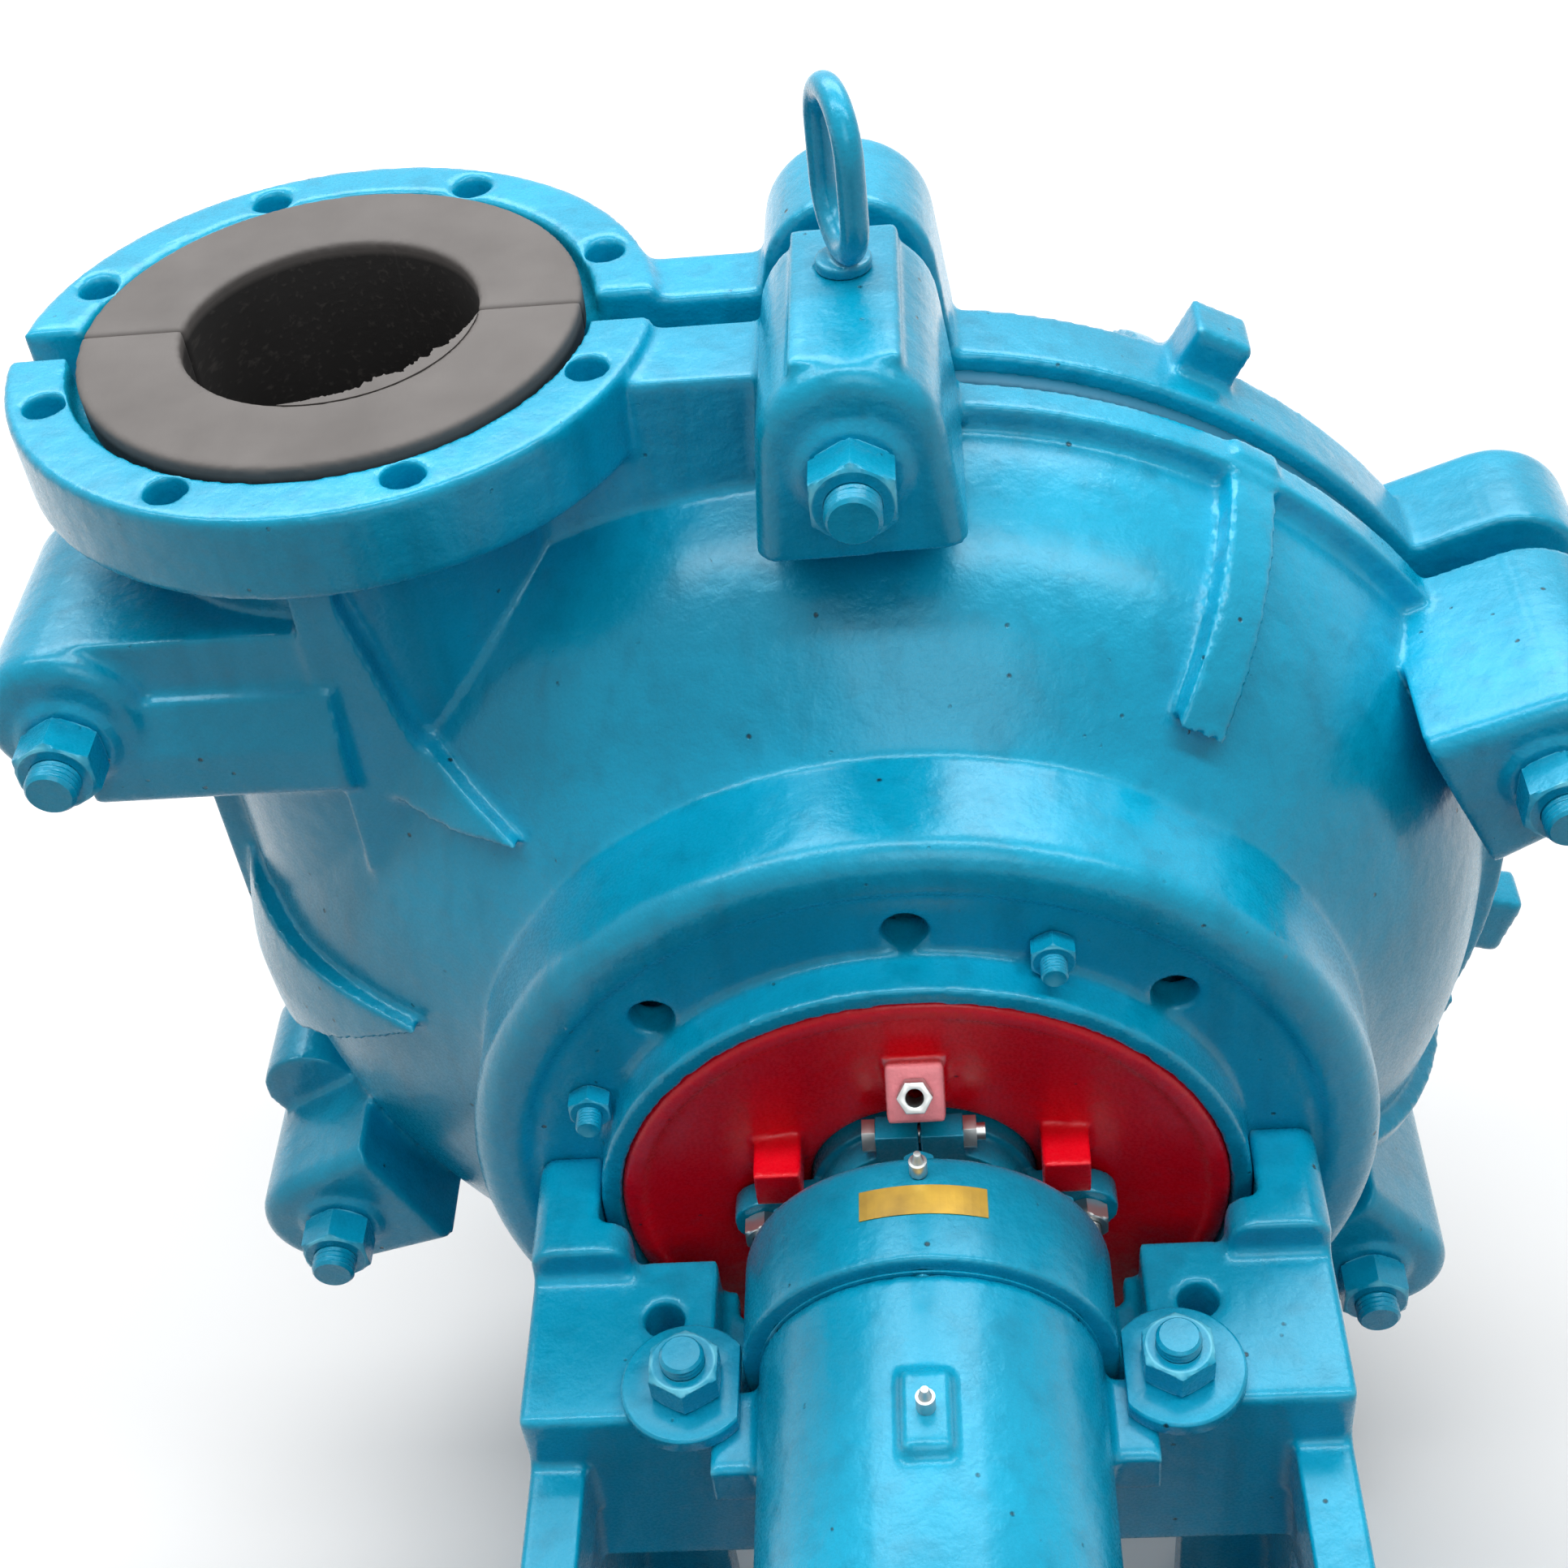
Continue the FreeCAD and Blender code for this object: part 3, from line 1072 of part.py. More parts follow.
def cover_gaskets():
    """Thin shims between the covers and the housing."""
    gaskets = []
    for front in (True, False):
        joint = cover_span(front)[0]
        housing_end = HOUSING_FRONT_Y if front else HOUSING_REAR_Y
        outer = HOUSING_RADIUS
        gaskets.append(ring(outer, HOUSING_BORE, joint, housing_end))
    holes = cover_screw_rods(COVER_SCREW_RADIUS + BOLT_PLAY / 2)
    return Part.makeCompound([gasket.cut(holes) for gasket in gaskets])


def end_cover_screws():
    screws = []
    for front in (True, False):
        outer = cover_span(front)[1]
        inner = HOUSING_FRONT_Y - COVER_SCREW_REACH if front else HOUSING_REAR_Y + COVER_SCREW_REACH
        sign = 1 if front else -1
        for step in range(COVER_SCREWS):
            x, z = place_on_clock(COVER_SCREW_CIRCLE, 360.0 / COVER_SCREWS * step)
            head = hexagon(COVER_SCREW_FLATS, outer, outer + sign * COVER_SCREW_HEAD, x, z)
            screws.append(head.fuse(rod(COVER_SCREW_RADIUS, inner, outer + sign, x, z)).removeSplitter())
    return Part.makeCompound(screws)


def labyrinth(front):
    """Grooved ring that turns with the shaft and keeps slurry out of the bearing."""
    outer, inner = labyrinth_span(front)
    sign = 1 if front else -1
    disc_inner = outer - sign * LABYRINTH_THICK
    bore = SHAFT_RADIUS if front else LOCKNUT_THREAD_RADIUS
    shape = ring(LABYRINTH_RADIUS, bore, disc_inner, outer)
    neck = ring(COVER_BORE - RUN_GAP * 4, bore, inner, disc_inner)
    shape = shape.fuse(neck).removeSplitter()
    for step in (3, 8):
        y = disc_inner - sign * (LABYRINTH_GAP + step)
        groove = ring(COVER_BORE + 5, COVER_BORE - 5, y - 1, y + 1)
        shape = shape.cut(groove)
    return shape


def bearing_outer_ring(front):
    start, end = bearing_span(front)
    return ring(HOUSING_BORE - SHAFT_FIT, OUTER_RACE, start, end)


def bearing_inner_ring(front):
    start, end = bearing_span(front)
    return ring(INNER_RACE, BEARING_SEAT_RADIUS + SHAFT_FIT / 2, start, end)


def roller_set(front):
    """Rollers and the cage that spaces them."""
    start, end = bearing_span(front)
    pitch = (INNER_RACE + OUTER_RACE) / 2
    radius = (OUTER_RACE - INNER_RACE) / 2 - ROLLER_GAP
    length_gap = 5.0
    cage = ring(pitch + 2.5, pitch - 2.5, start - 1, end + 1)
    rollers = []
    pockets = []
    for step in range(ROLLERS):
        x, z = place_on_clock(pitch, 360.0 / ROLLERS * step)
        rollers.append(rod(radius, start - length_gap, end + length_gap, x, z))
        pockets.append(rod(radius + ROLLER_GAP, start - length_gap + ROLLER_GAP, end + length_gap - ROLLER_GAP, x, z))
    return Part.makeCompound([cage.cut(pockets)] + rollers)


def bearing_locknut():
    """Slotted nut that pulls the rear inner ring against the shaft shoulder."""
    start = BEARING_REAR_Y - BEARING_WIDTH
    shape = ring(LOCKNUT_RADIUS, LOCKNUT_THREAD_RADIUS, start, start - LOCKNUT_THICK)
    for step in range(4):
        slot = block((-4, 4), (start + 1, start - LOCKNUT_THICK - 1), (LOCKNUT_RADIUS - 4, LOCKNUT_RADIUS + 5))
        slot.rotate(V(0, 0, 0), ALONG, 90 * step)
        shape = shape.cut(slot)
    return shape


def nipple_places():
    """Foot of each grease nipple: y and height above the shaft axis."""
    front_edge = cover_span(True)[1] - COVER_EDGE - NIPPLE_RADIUS
    pad_top = HOUSING_RADIUS + NIPPLE_PAD_RAISE
    inset = NIPPLE_PAD_INSET + NIPPLE_PAD_LENGTH / 2
    return [(front_edge, COVER_RADIUS), (HOUSING_FRONT_Y - inset, pad_top), (HOUSING_REAR_Y + inset, pad_top)]


def nipple_holes():
    y, foot = nipple_places()[0]
    return [Part.makeCylinder(NIPPLE_RADIUS - 1, NIPPLE_STEM + 1, V(0, y, foot - NIPPLE_STEM), UP)]


def grease_nipples():
    nipples = []
    for y, foot in nipple_places():
        body = Part.makeCylinder(NIPPLE_RADIUS, NIPPLE_HEIGHT * 0.6, V(0, y, foot), UP)
        tip = Part.makeCone(NIPPLE_RADIUS * 0.7, NIPPLE_RADIUS * 0.4, NIPPLE_HEIGHT * 0.4,
                            V(0, y, foot + NIPPLE_HEIGHT * 0.6), UP)
        nipple = body.fuse(tip)
        if foot == COVER_RADIUS:
            nipple = nipple.fuse(nipple_holes())
        nipples.append(nipple.removeSplitter())
    return Part.makeCompound(nipples)


def adjusting_screw():
    """Screw fixed in the housing lug; its nuts on the base move the whole bearing assembly."""
    end = ADJUST_WALL_Y - ADJUST_WALL_THICK - ADJUST_NUT_THICK - ADJUST_SCREW_SPARE
    return rod(ADJUST_RADIUS, ADJUST_LUG_Y, end, 0, ADJUST_Z)


def adjusting_nuts():
    nuts = []
    for y_from, y_to in ((ADJUST_WALL_Y, ADJUST_WALL_Y + ADJUST_NUT_THICK),
                         (ADJUST_WALL_Y - ADJUST_WALL_THICK, ADJUST_WALL_Y - ADJUST_WALL_THICK - ADJUST_NUT_THICK)):
        nut = hexagon(ADJUST_NUT_FLATS, y_from, y_to, 0, ADJUST_Z)
        nuts.append(nut.cut(rod(ADJUST_RADIUS + RUN_GAP, -BIG, BIG, 0, ADJUST_Z)))
    return Part.makeCompound(nuts)


# Base frame

def clamp_places():
    places = []
    for side in (-1, 1):
        for y in (PAD_END_Y + CLAMP_INSET_Y, REAR_PAD_START_Y - CLAMP_INSET_Y):
            places.append((side * CLAMP_X, y))
    return places


def base_side_wall(side):
    """Side wall that leans outwards down to its foot."""
    top = SIDE_TOP_Z
    bottom = -SHAFT_HEIGHT + FOOT_THICK / 2
    outer = PILLAR_OUTER_X
    points = [V(side * outer, 0, top), V(side * (outer + BASE_FLARE), 0, bottom),
              V(side * (outer + BASE_FLARE - BASE_WALL_THICK), 0, bottom),
              V(side * (outer - BASE_WALL_THICK), 0, top)]
    wall = prism(points, SADDLE_WALL_Y - BASE_REAR_Y, ALONG)
    wall.translate(V(0, BASE_REAR_Y, 0))
    return wall


def base_cross_wall(y_back, thick, top):
    """Wall across the base between the leaning side walls."""
    bottom = -SHAFT_HEIGHT + FOOT_THICK / 2
    outer = PILLAR_OUTER_X
    wide = outer + BASE_FLARE
    points = [V(-outer, y_back, top), V(outer, y_back, top), V(wide, y_back, bottom), V(-wide, y_back, bottom)]
    return prism(points, thick, ALONG)


def rounded_block(x_pair, y_pair, z_pair, radius, direction):
    """Block with the four edges that run along one direction rounded."""
    shape = block(x_pair, y_pair, z_pair)
    edges = []
    for edge in shape.Edges:
        tangent = edge.tangentAt(edge.FirstParameter)
        if abs(tangent.dot(direction)) > 0.9:
            edges.append(edge)
    return shape.makeFillet(radius, edges)


def base_frame():
    """Cast base: saddle for the casing, cradle for the bearing housing and two long feet."""
    pieces = []
    bottom = -SHAFT_HEIGHT
    saddle_low = -RIM_RADIUS * 0.5
    for side in (-1, 1):
        pieces.append(rounded_block((side * PILLAR_INNER_X, side * PILLAR_OUTER_X),
                                    (PAD_START_Y, ANNULUS_Y), (saddle_low, PILLAR_TOP_Z), PILLAR_ROUND, ALONG))
        pieces.append(block((side * PAD_INNER_X, side * PILLAR_OUTER_X), (PAD_START_Y + 8, PAD_END_Y), (-PAD_THICK, 0)))
        pieces.append(block((side * PAD_INNER_X, side * PILLAR_OUTER_X), (REAR_PAD_START_Y, REAR_PAD_END_Y),
                            (-PAD_THICK, 0)))
        pieces.append(block((side * (PILLAR_OUTER_X - 26), side * PILLAR_OUTER_X), (SADDLE_WALL_Y, BASE_REAR_Y),
                            (SIDE_TOP_Z - 20, -PAD_THICK + 6)))
        pieces.append(base_side_wall(side))
        pieces.append(rounded_block((side * FOOT_INNER_X, side * FOOT_OUTER_X), (FOOT_FRONT_Y, FOOT_REAR_Y),
                                    (bottom, bottom + FOOT_THICK), FOOT_CORNER, UP))
        gusset = [V(side * (PILLAR_OUTER_X + 10), SADDLE_WALL_Y + SADDLE_WALL_THICK, bottom + FOOT_THICK - 2),
                  V(side * (PILLAR_OUTER_X + 10), FOOT_FRONT_Y - 10, bottom + FOOT_THICK - 2),
                  V(side * (PILLAR_OUTER_X + 10), SADDLE_WALL_Y + SADDLE_WALL_THICK, bottom + 130)]
        web = prism(gusset, 14, V(-side, 0, 0))
        pieces.append(web)
    saddle = rod(DRUM_LIP_INNER - 2 - RUN_GAP, SADDLE_WALL_Y, ANNULUS_Y)
    saddle = saddle.common(block((-BIG, BIG), (-BIG, BIG), (-BIG, -20)))
    pieces.append(saddle)
    pieces.append(base_cross_wall(SADDLE_WALL_Y, SADDLE_WALL_THICK, -20))
    pieces.append(base_cross_wall(BASE_REAR_Y, BASE_WALL_THICK, SIDE_TOP_Z))
    for start, end in ((PAD_START_Y - 8, PAD_END_Y), (REAR_PAD_START_Y, REAR_PAD_END_Y)):
        pieces.append(block((-PILLAR_OUTER_X + 10, PILLAR_OUTER_X - 10), (start, end), (-CRADLE_DEPTH, -PAD_THICK + 10)))
        pieces.append(block((-PAD_INNER_X - 10, PAD_INNER_X + 10), (start, end), (-CRADLE_DEPTH, 0)))
    pieces.append(block((-PILLAR_OUTER_X + 10, PILLAR_OUTER_X - 10), (ADJUST_WALL_Y, ADJUST_WALL_Y - ADJUST_WALL_THICK),
                        (ADJUST_Z - 34, ADJUST_Z + 22)))
    shape = pieces[0].fuse(pieces[1:])
    tools = [rod(HOUSING_RADIUS + RUN_GAP, BASE_REAR_Y - 50, PAD_START_Y - 8),
             rod(COVER_RADIUS + 4, HOUSING_FRONT_Y - 4, SADDLE_WALL_Y),
             rod(COVER_RADIUS + 4, BASE_REAR_Y - 50, HOUSING_REAR_Y + 12),
             rod(SPIGOT_RADIUS + RUN_GAP, SADDLE_WALL_Y - 6, 0),
             ring(DRUM_RADIUS + 40, DRUM_LIP_INNER - 2 - RUN_GAP, DRUM_LIP_Y - 1, 0),
             block((-RAIL_X - RUN_GAP, RAIL_X + RUN_GAP), (BASE_REAR_Y - 50, PAD_START_Y + 8),
                   (-RAIL_DEPTH - RUN_GAP, BIG)),
             rod(ADJUST_RADIUS + BOLT_PLAY, ADJUST_WALL_Y + 1, ADJUST_WALL_Y - ADJUST_WALL_THICK - 1, 0, ADJUST_Z)]
    window = rounded_block((-BIG, BIG), (WINDOW_FRONT_Y, WINDOW_REAR_Y), (WINDOW_BOTTOM_Z, WINDOW_TOP_Z),
                           WINDOW_ROUND, ACROSS)
    tools.append(window)
    arch = rounded_block((-PILLAR_INNER_X + 10, PILLAR_INNER_X - 10), (-BIG, BIG), (bottom - 60, -CRADLE_DEPTH - 90),
                         WINDOW_ROUND, ALONG)
    tools.append(arch)
    for side in (-1, 1):
        for y in (FOOT_FRONT_HOLE_Y, FOOT_REAR_HOLE_Y):
            tools.append(Part.makeCylinder(FOOT_HOLE_RADIUS, FOOT_THICK + 2, V(side * FOOT_HOLE_X, y, bottom - 1), UP))
        tools.append(Part.makeCylinder(PAD_HOLE_RADIUS, PAD_THICK, V(side * PAD_HOLE_X, PAD_HOLE_Y, -PAD_THICK + 5), UP))
    for x, y in clamp_places():
        tools.append(Part.makeCylinder(CLAMP_STUD_RADIUS, CLAMP_STUD_IN, V(x, y, -CLAMP_STUD_IN), UP))
    for angle in BASE_STUD_ANGLES:
        x, z = place_on_clock(ANNULUS_HOLE_CIRCLE, angle)
        tools.append(rod(BASE_STUD_RADIUS + BOLT_PLAY, SADDLE_WALL_Y - 1, ANNULUS_Y + 1, x, z))
    pocket_end = ANNULUS_Y - LINER_NUT_THICK - LINER_STUD_SPARE - 4
    for angle in LINER_STUD_ANGLES:
        x, z = place_on_clock(LINER_STUD_CIRCLE, angle)
        tools.append(rod(LINER_NUT_FLATS * 0.75, ANNULUS_Y + 1, pocket_end, x, z))
    return shape.cut(tools).removeSplitter()


def clamp_washers():
    """Thick washers with a flat towards the end cover; they press the housing's rails down."""
    washers = []
    for x, y in clamp_places():
        washer = Part.makeCylinder(CLAMP_WASHER_RADIUS, CLAMP_WASHER_THICK, V(x, y, 0), UP)
        washer = washer.makeChamfer(1.2, [washer.Edges[0]])
        flat = block((-COVER_RADIUS - CLAMP_FLAT_GAP, COVER_RADIUS + CLAMP_FLAT_GAP), (-BIG, BIG), (-5, 50))
        washer = washer.cut(flat)
        washers.append(washer.cut(Part.makeCylinder(CLAMP_STUD_RADIUS + BOLT_PLAY, 50, V(x, y, -5), UP)))
    return Part.makeCompound(washers)


def clamp_studs():
    studs = []
    for x, y in clamp_places():
        studs.append(Part.makeCylinder(CLAMP_STUD_RADIUS, CLAMP_STUD_IN + CLAMP_STUD_OUT, V(x, y, -CLAMP_STUD_IN), UP))
    return Part.makeCompound(studs)


def clamp_nuts():
    nuts = []
    corner = CLAMP_NUT_FLATS / math.sqrt(3)
    for x, y in clamp_places():
        points = []
        for step in range(6):
            angle = math.radians(60 * step + 30)
            points.append(V(x + corner * math.cos(angle), y + corner * math.sin(angle), CLAMP_WASHER_THICK))
        nut = prism(points, CLAMP_NUT_THICK, UP)
        nuts.append(nut.cut(Part.makeCylinder(CLAMP_STUD_RADIUS, 50, V(x, y, -5), UP)))
    return Part.makeCompound(nuts)


# Fasteners of the casing

def casing_bolts():
    bolts = []
    for x, z in bolt_places():
        head_start = LUG_REAR_Y
        head = hexagon(CASING_NUT_FLATS, head_start, head_start + CASING_HEAD_THICK, x, z)
        end = LUG_FRONT_Y - SPOT_FACE_RAISE - CASING_NUT_THICK - CASING_BOLT_SPARE
        bolts.append(head.fuse(rod(CASING_BOLT_RADIUS, end, head_start + 1, x, z)).removeSplitter())
    return Part.makeCompound(bolts)


def casing_nuts():
    nuts = []
    start = LUG_FRONT_Y - SPOT_FACE_RAISE
    for x, z in bolt_places():
        nut = hexagon(CASING_NUT_FLATS, start, start - CASING_NUT_THICK, x, z)
        bevel = rod(CASING_NUT_FLATS / math.sqrt(3) - 0.6, start, start - CASING_NUT_THICK, x, z)
        nuts.append(nut.common(bevel).cut(rod(CASING_BOLT_RADIUS, -BIG, BIG, x, z)))
    return Part.makeCompound(nuts)


def base_studs():
    studs = []
    for angle in BASE_STUD_ANGLES:
        x, z = place_on_clock(ANNULUS_HOLE_CIRCLE, angle)
        end = SADDLE_WALL_Y - BASE_NUT_THICK - 8
        studs.append(rod(BASE_STUD_RADIUS, ANNULUS_Y + ANNULUS_THICK, end, x, z))
    return Part.makeCompound(studs)


def base_nuts():
    nuts = []
    for angle in BASE_STUD_ANGLES:
        x, z = place_on_clock(ANNULUS_HOLE_CIRCLE, angle)
        nut = hexagon(BASE_NUT_FLATS, SADDLE_WALL_Y, SADDLE_WALL_Y - BASE_NUT_THICK, x, z)
        nuts.append(nut.cut(rod(BASE_STUD_RADIUS, -BIG, BIG, x, z)))
    return Part.makeCompound(nuts)


def liner_studs():
    studs = []
    for angle in LINER_STUD_ANGLES:
        x, z = place_on_clock(LINER_STUD_CIRCLE, angle)
        end = ANNULUS_Y - LINER_NUT_THICK - LINER_STUD_SPARE
        studs.append(rod(LINER_STUD_RADIUS, -CAVITY_DEPTH + BACK_STEEL, end, x, z))
    return Part.makeCompound(studs)


def liner_nuts():
    nuts = []
    for angle in LINER_STUD_ANGLES:
        x, z = place_on_clock(LINER_STUD_CIRCLE, angle)
        nut = hexagon(LINER_NUT_FLATS, ANNULUS_Y, ANNULUS_Y - LINER_NUT_THICK, x, z)
        nuts.append(nut.cut(rod(LINER_STUD_RADIUS, -BIG, BIG, x, z)))
    return Part.makeCompound(nuts)


def eye_stem(x, z):
    """Threaded stem of the lifting eye, down into the top pad."""
    return Part.makeCylinder(EYE_BAR + 2, EYE_STEM_LENGTH, V(x, EYE_Y, z + TOP_PAD_RAISE - EYE_STEM_LENGTH), UP)


def lifting_eye():
    """Forged eye: collar, two straight sides and a round top, turned a little about its stem."""
    x, z = bolt_places()[TOP_BOLT]
    low = EYE_COLLAR - 1 + EYE_BAR + EYE_WIDTH
    high = low + EYE_LENGTH
    collar = Part.makeCylinder(EYE_BAR * 2, EYE_COLLAR, V(0, 0, 0), UP)
    lower = Part.makeTorus(EYE_WIDTH, EYE_BAR, V(0, 0, low), ACROSS)
    lower = lower.common(block((-BIG, BIG), (-BIG, BIG), (-BIG, low)))
    upper = Part.makeTorus(EYE_WIDTH, EYE_BAR, V(0, 0, high), ACROSS)
    upper = upper.common(block((-BIG, BIG), (-BIG, BIG), (high, BIG)))
    sides = [Part.makeCylinder(EYE_BAR, high - low, V(0, side * EYE_WIDTH, low), UP) for side in (-1, 1)]
    shape = joined([collar, lower, upper] + sides)
    shape.rotate(V(0, 0, 0), UP, EYE_TURN)
    shape.translate(V(x, EYE_Y, z + TOP_PAD_RAISE))
    return shape.fuse(eye_stem(x, z)).removeSplitter()


def nodes():
    """Every piece by its name."""
    return {
        "base_frame": base_frame(),
        "frame_plate": frame_plate(),
        "cover_plate": cover_plate(),
        "frame_plate_liner": rubber_half(-1, BACK_LINER_RADIUS),
        "cover_plate_liner": rubber_half(1, THROAT_RADIUS),
        "back_liner": back_liner(),
        "throatbush": throatbush(),
        "intake_joint": intake_joint(),
        "impeller": impeller(),
        "shaft": shaft(),
        "shaft_sleeve": shaft_sleeve(),
        "sleeve_seal": sleeve_seal(),
        "shaft_spacer": shaft_spacer(),
        "stuffing_box": stuffing_box(),
        "stuffing_box_seal": box_seal(),
        "seal_water_fitting": seal_water_fitting(),
        "neck_ring": neck_ring(),
        "packing_rings": packing_rings(),
        "lantern_ring": lantern_ring(),
        "gland_half_left": gland_half(-1),
        "gland_half_right": gland_half(1),
        "gland_clamp_bolts": gland_clamp_bolts(),
        "gland_studs": gland_studs(),
        "gland_nuts": gland_nuts(),
        "bearing_housing": bearing_housing(),
        "front_end_cover": end_cover(True),
        "rear_end_cover": end_cover(False),
        "cover_gaskets": cover_gaskets(),
        "end_cover_screws": end_cover_screws(),
        "front_labyrinth": labyrinth(True),
        "rear_labyrinth": labyrinth(False),
        "front_bearing_outer_ring": bearing_outer_ring(True),
        "front_bearing_inner_ring": bearing_inner_ring(True),
        "front_bearing_rollers": roller_set(True),
        "rear_bearing_outer_ring": bearing_outer_ring(False),
        "rear_bearing_inner_ring": bearing_inner_ring(False),
        "rear_bearing_rollers": roller_set(False),
        "bearing_locknut": bearing_locknut(),
        "grease_nipples": grease_nipples(),
        "adjusting_screw": adjusting_screw(),
        "adjusting_nuts": adjusting_nuts(),
        "clamp_washers": clamp_washers(),
        "clamp_studs": clamp_studs(),
        "clamp_nuts": clamp_nuts(),
        "casing_bolts": casing_bolts(),
        "casing_nuts": casing_nuts(),
        "base_studs": base_studs(),
        "base_nuts": base_nuts(),
        "liner_studs": liner_studs(),
        "liner_nuts": liner_nuts(),
        "lifting_eye": lifting_eye(),
    }


os.makedirs("parts", exist_ok=True)
for name, shape in nodes().items():
    shape.translate(V(0, SPLIT_Y, SHAFT_HEIGHT))
    shape.exportStep("parts/" + name + ".step")
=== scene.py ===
import math

import bmesh
import bpy
from mathutils import Matrix, Vector
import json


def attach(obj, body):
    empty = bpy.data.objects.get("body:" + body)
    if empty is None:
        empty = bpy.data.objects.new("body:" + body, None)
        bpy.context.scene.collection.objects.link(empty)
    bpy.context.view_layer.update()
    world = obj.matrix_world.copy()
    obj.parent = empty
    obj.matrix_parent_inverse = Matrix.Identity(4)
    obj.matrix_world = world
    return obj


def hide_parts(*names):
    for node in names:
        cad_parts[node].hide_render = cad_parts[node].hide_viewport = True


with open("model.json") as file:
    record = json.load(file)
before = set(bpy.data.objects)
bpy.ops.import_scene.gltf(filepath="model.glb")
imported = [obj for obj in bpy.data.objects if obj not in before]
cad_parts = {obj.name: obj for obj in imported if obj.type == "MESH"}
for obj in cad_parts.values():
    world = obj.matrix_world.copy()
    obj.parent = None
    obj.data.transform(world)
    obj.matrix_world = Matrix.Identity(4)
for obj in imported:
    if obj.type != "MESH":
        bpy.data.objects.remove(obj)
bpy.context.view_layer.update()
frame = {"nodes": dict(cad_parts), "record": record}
nodes = frame["nodes"]

MM = 0.001

# Where the camera stood, worked out from the flange circle, the bolts and the shaft
CAMERA_PLACE = Vector((25.98 * MM, -405.65 * MM, 1316.22 * MM))
CAMERA_PITCH = math.radians(-42.96)
CAMERA_ROLL = math.radians(7.27)
CAMERA_YAW = math.radians(5.99)
CAMERA_LENS = 51.84
CAMERA_SENSOR = 36.0

# The shaft axis runs along Y at this height, and the two casing halves meet at this Y
SHAFT_Z = 440.0 * MM
SPLIT_Y = 470.0 * MM
# Further than this from the shaft axis, and right of this place, the rubber shows only in the joint
# of the casing, where the paint ran over it
PAINTED_FROM = 265.0 * MM
PAINTED_RIGHT_OF = -60.0 * MM
# Height above the shaft from which the rubber lies open to the air in the discharge flange
OPEN_FACE = 352.0 * MM


def on_pump(x, y, z):
    """A point in metres from millimetres measured from where the shaft meets the split plane."""
    return Vector((x * MM, y * MM + SPLIT_Y, z * MM + SHAFT_Z))


def linear(hex_colour):
    """An sRGB hex colour as linear red, green, blue and alpha."""
    parts = [int(hex_colour[i:i + 2], 16) / 255 for i in (1, 3, 5)]
    curve = [p / 12.92 if p <= 0.04045 else ((p + 0.055) / 1.055) ** 2.4 for p in parts]
    return (*curve, 1.0)


def add_node(tree, kind, feeds=(), **settings):
    """Adds a node, sets its properties, and fills its inputs with values or with links."""
    node = tree.nodes.new(kind)
    for name, value in settings.items():
        setattr(node, name, value)
    for socket, value in feeds:
        if isinstance(value, bpy.types.NodeSocket):
            tree.links.new(value, node.inputs[socket])
        else:
            node.inputs[socket].default_value = value
    return node


# Sockets of the Mix node when it mixes colours
MIX_A, MIX_B, MIX_OUT = 6, 7, 2


def new_material(name):
    """A material with its output, its main shader and the place that its patterns follow."""
    material = bpy.data.materials.new(name)
    material.use_nodes = True
    tree = material.node_tree
    tree.nodes.clear()
    shader = add_node(tree, "ShaderNodeBsdfPrincipled")
    add_node(tree, "ShaderNodeOutputMaterial", [("Surface", shader.outputs["BSDF"])])
    place = add_node(tree, "ShaderNodeTexCoord").outputs["Object"]
    return material, tree, shader, place


# Enamel: share of darker paint in corners, which is pooled paint and painted shade, share of pale
# thin paint on edges, which is worn paint and a painted highlight, the roughness that wear adds, the
# roughness of the clear gloss on top, the shadow at the bottom of a blow hole, and the width over
# which the tint of a boss ends
POOLED_AND_SHADED_SHARE = 0.75
THINNED_AND_HIGHLIT_SHARE = 0.65
WORN_ROUGHNESS = 0.25
GLOSS_ROUGHNESS = 0.22
HOLE_SHADOW = "#0B2A36"
TINT_ENDS = 1.0 * MM


def sanded_relief(tree, place):
    """Tone, runs, grain, lumps and blow holes of a painted sand casting, each at its real size."""
    # Slow changes of tone over about 120 mm, where the brush laid more or less paint
    tone = add_node(tree, "ShaderNodeTexNoise",
                    [("Vector", place), ("Scale", 1 / (120 * MM)), ("Detail", 3.0)])
    # Runs: stretched down the wall, 14 mm apart
    hang = add_node(tree, "ShaderNodeMapping", [("Vector", place), ("Scale", (1.0, 1.0, 0.14))])
    runs = add_node(tree, "ShaderNodeTexNoise",
                    [("Vector", hang.outputs[0]), ("Scale", 1 / (14 * MM)), ("Detail", 2.0)])
    # Grain of the moulding sand, 1.6 mm, and the lumps of the mould face, 11 mm
    grain = add_node(tree, "ShaderNodeTexNoise",
                     [("Vector", place), ("Scale", 1 / (1.6 * MM)), ("Detail", 4.0),
                      ("Roughness", 0.6)])
    lumps = add_node(tree, "ShaderNodeTexNoise",
                     [("Vector", place), ("Scale", 1 / (11 * MM)), ("Detail", 3.0)])
    # Blow holes, about 1.5 mm across in cells of 13 mm, and only in some places
    cells = add_node(tree, "ShaderNodeTexVoronoi",
                     [("Vector", place), ("Scale", 1 / (13 * MM)), ("Randomness", 1.0)])
    hole = add_node(tree, "ShaderNodeMapRange",
                    [("Value", cells.outputs["Distance"]), ("From Min", 0.05), ("From Max", 0.11),
                     ("To Min", 1.0), ("To Max", 0.0)])
    some = add_node(tree, "ShaderNodeMapRange",
                    [("Value", lumps.outputs["Fac"]), ("From Min", 0.54), ("From Max", 0.6)])
    pit = add_node(tree, "ShaderNodeMath",
                   [(0, hole.outputs[0]), (1, some.outputs[0])], operation="MULTIPLY")
    return [noise.outputs["Fac"] for noise in (tone, runs, grain, lumps)] + [pit.outputs[0]]


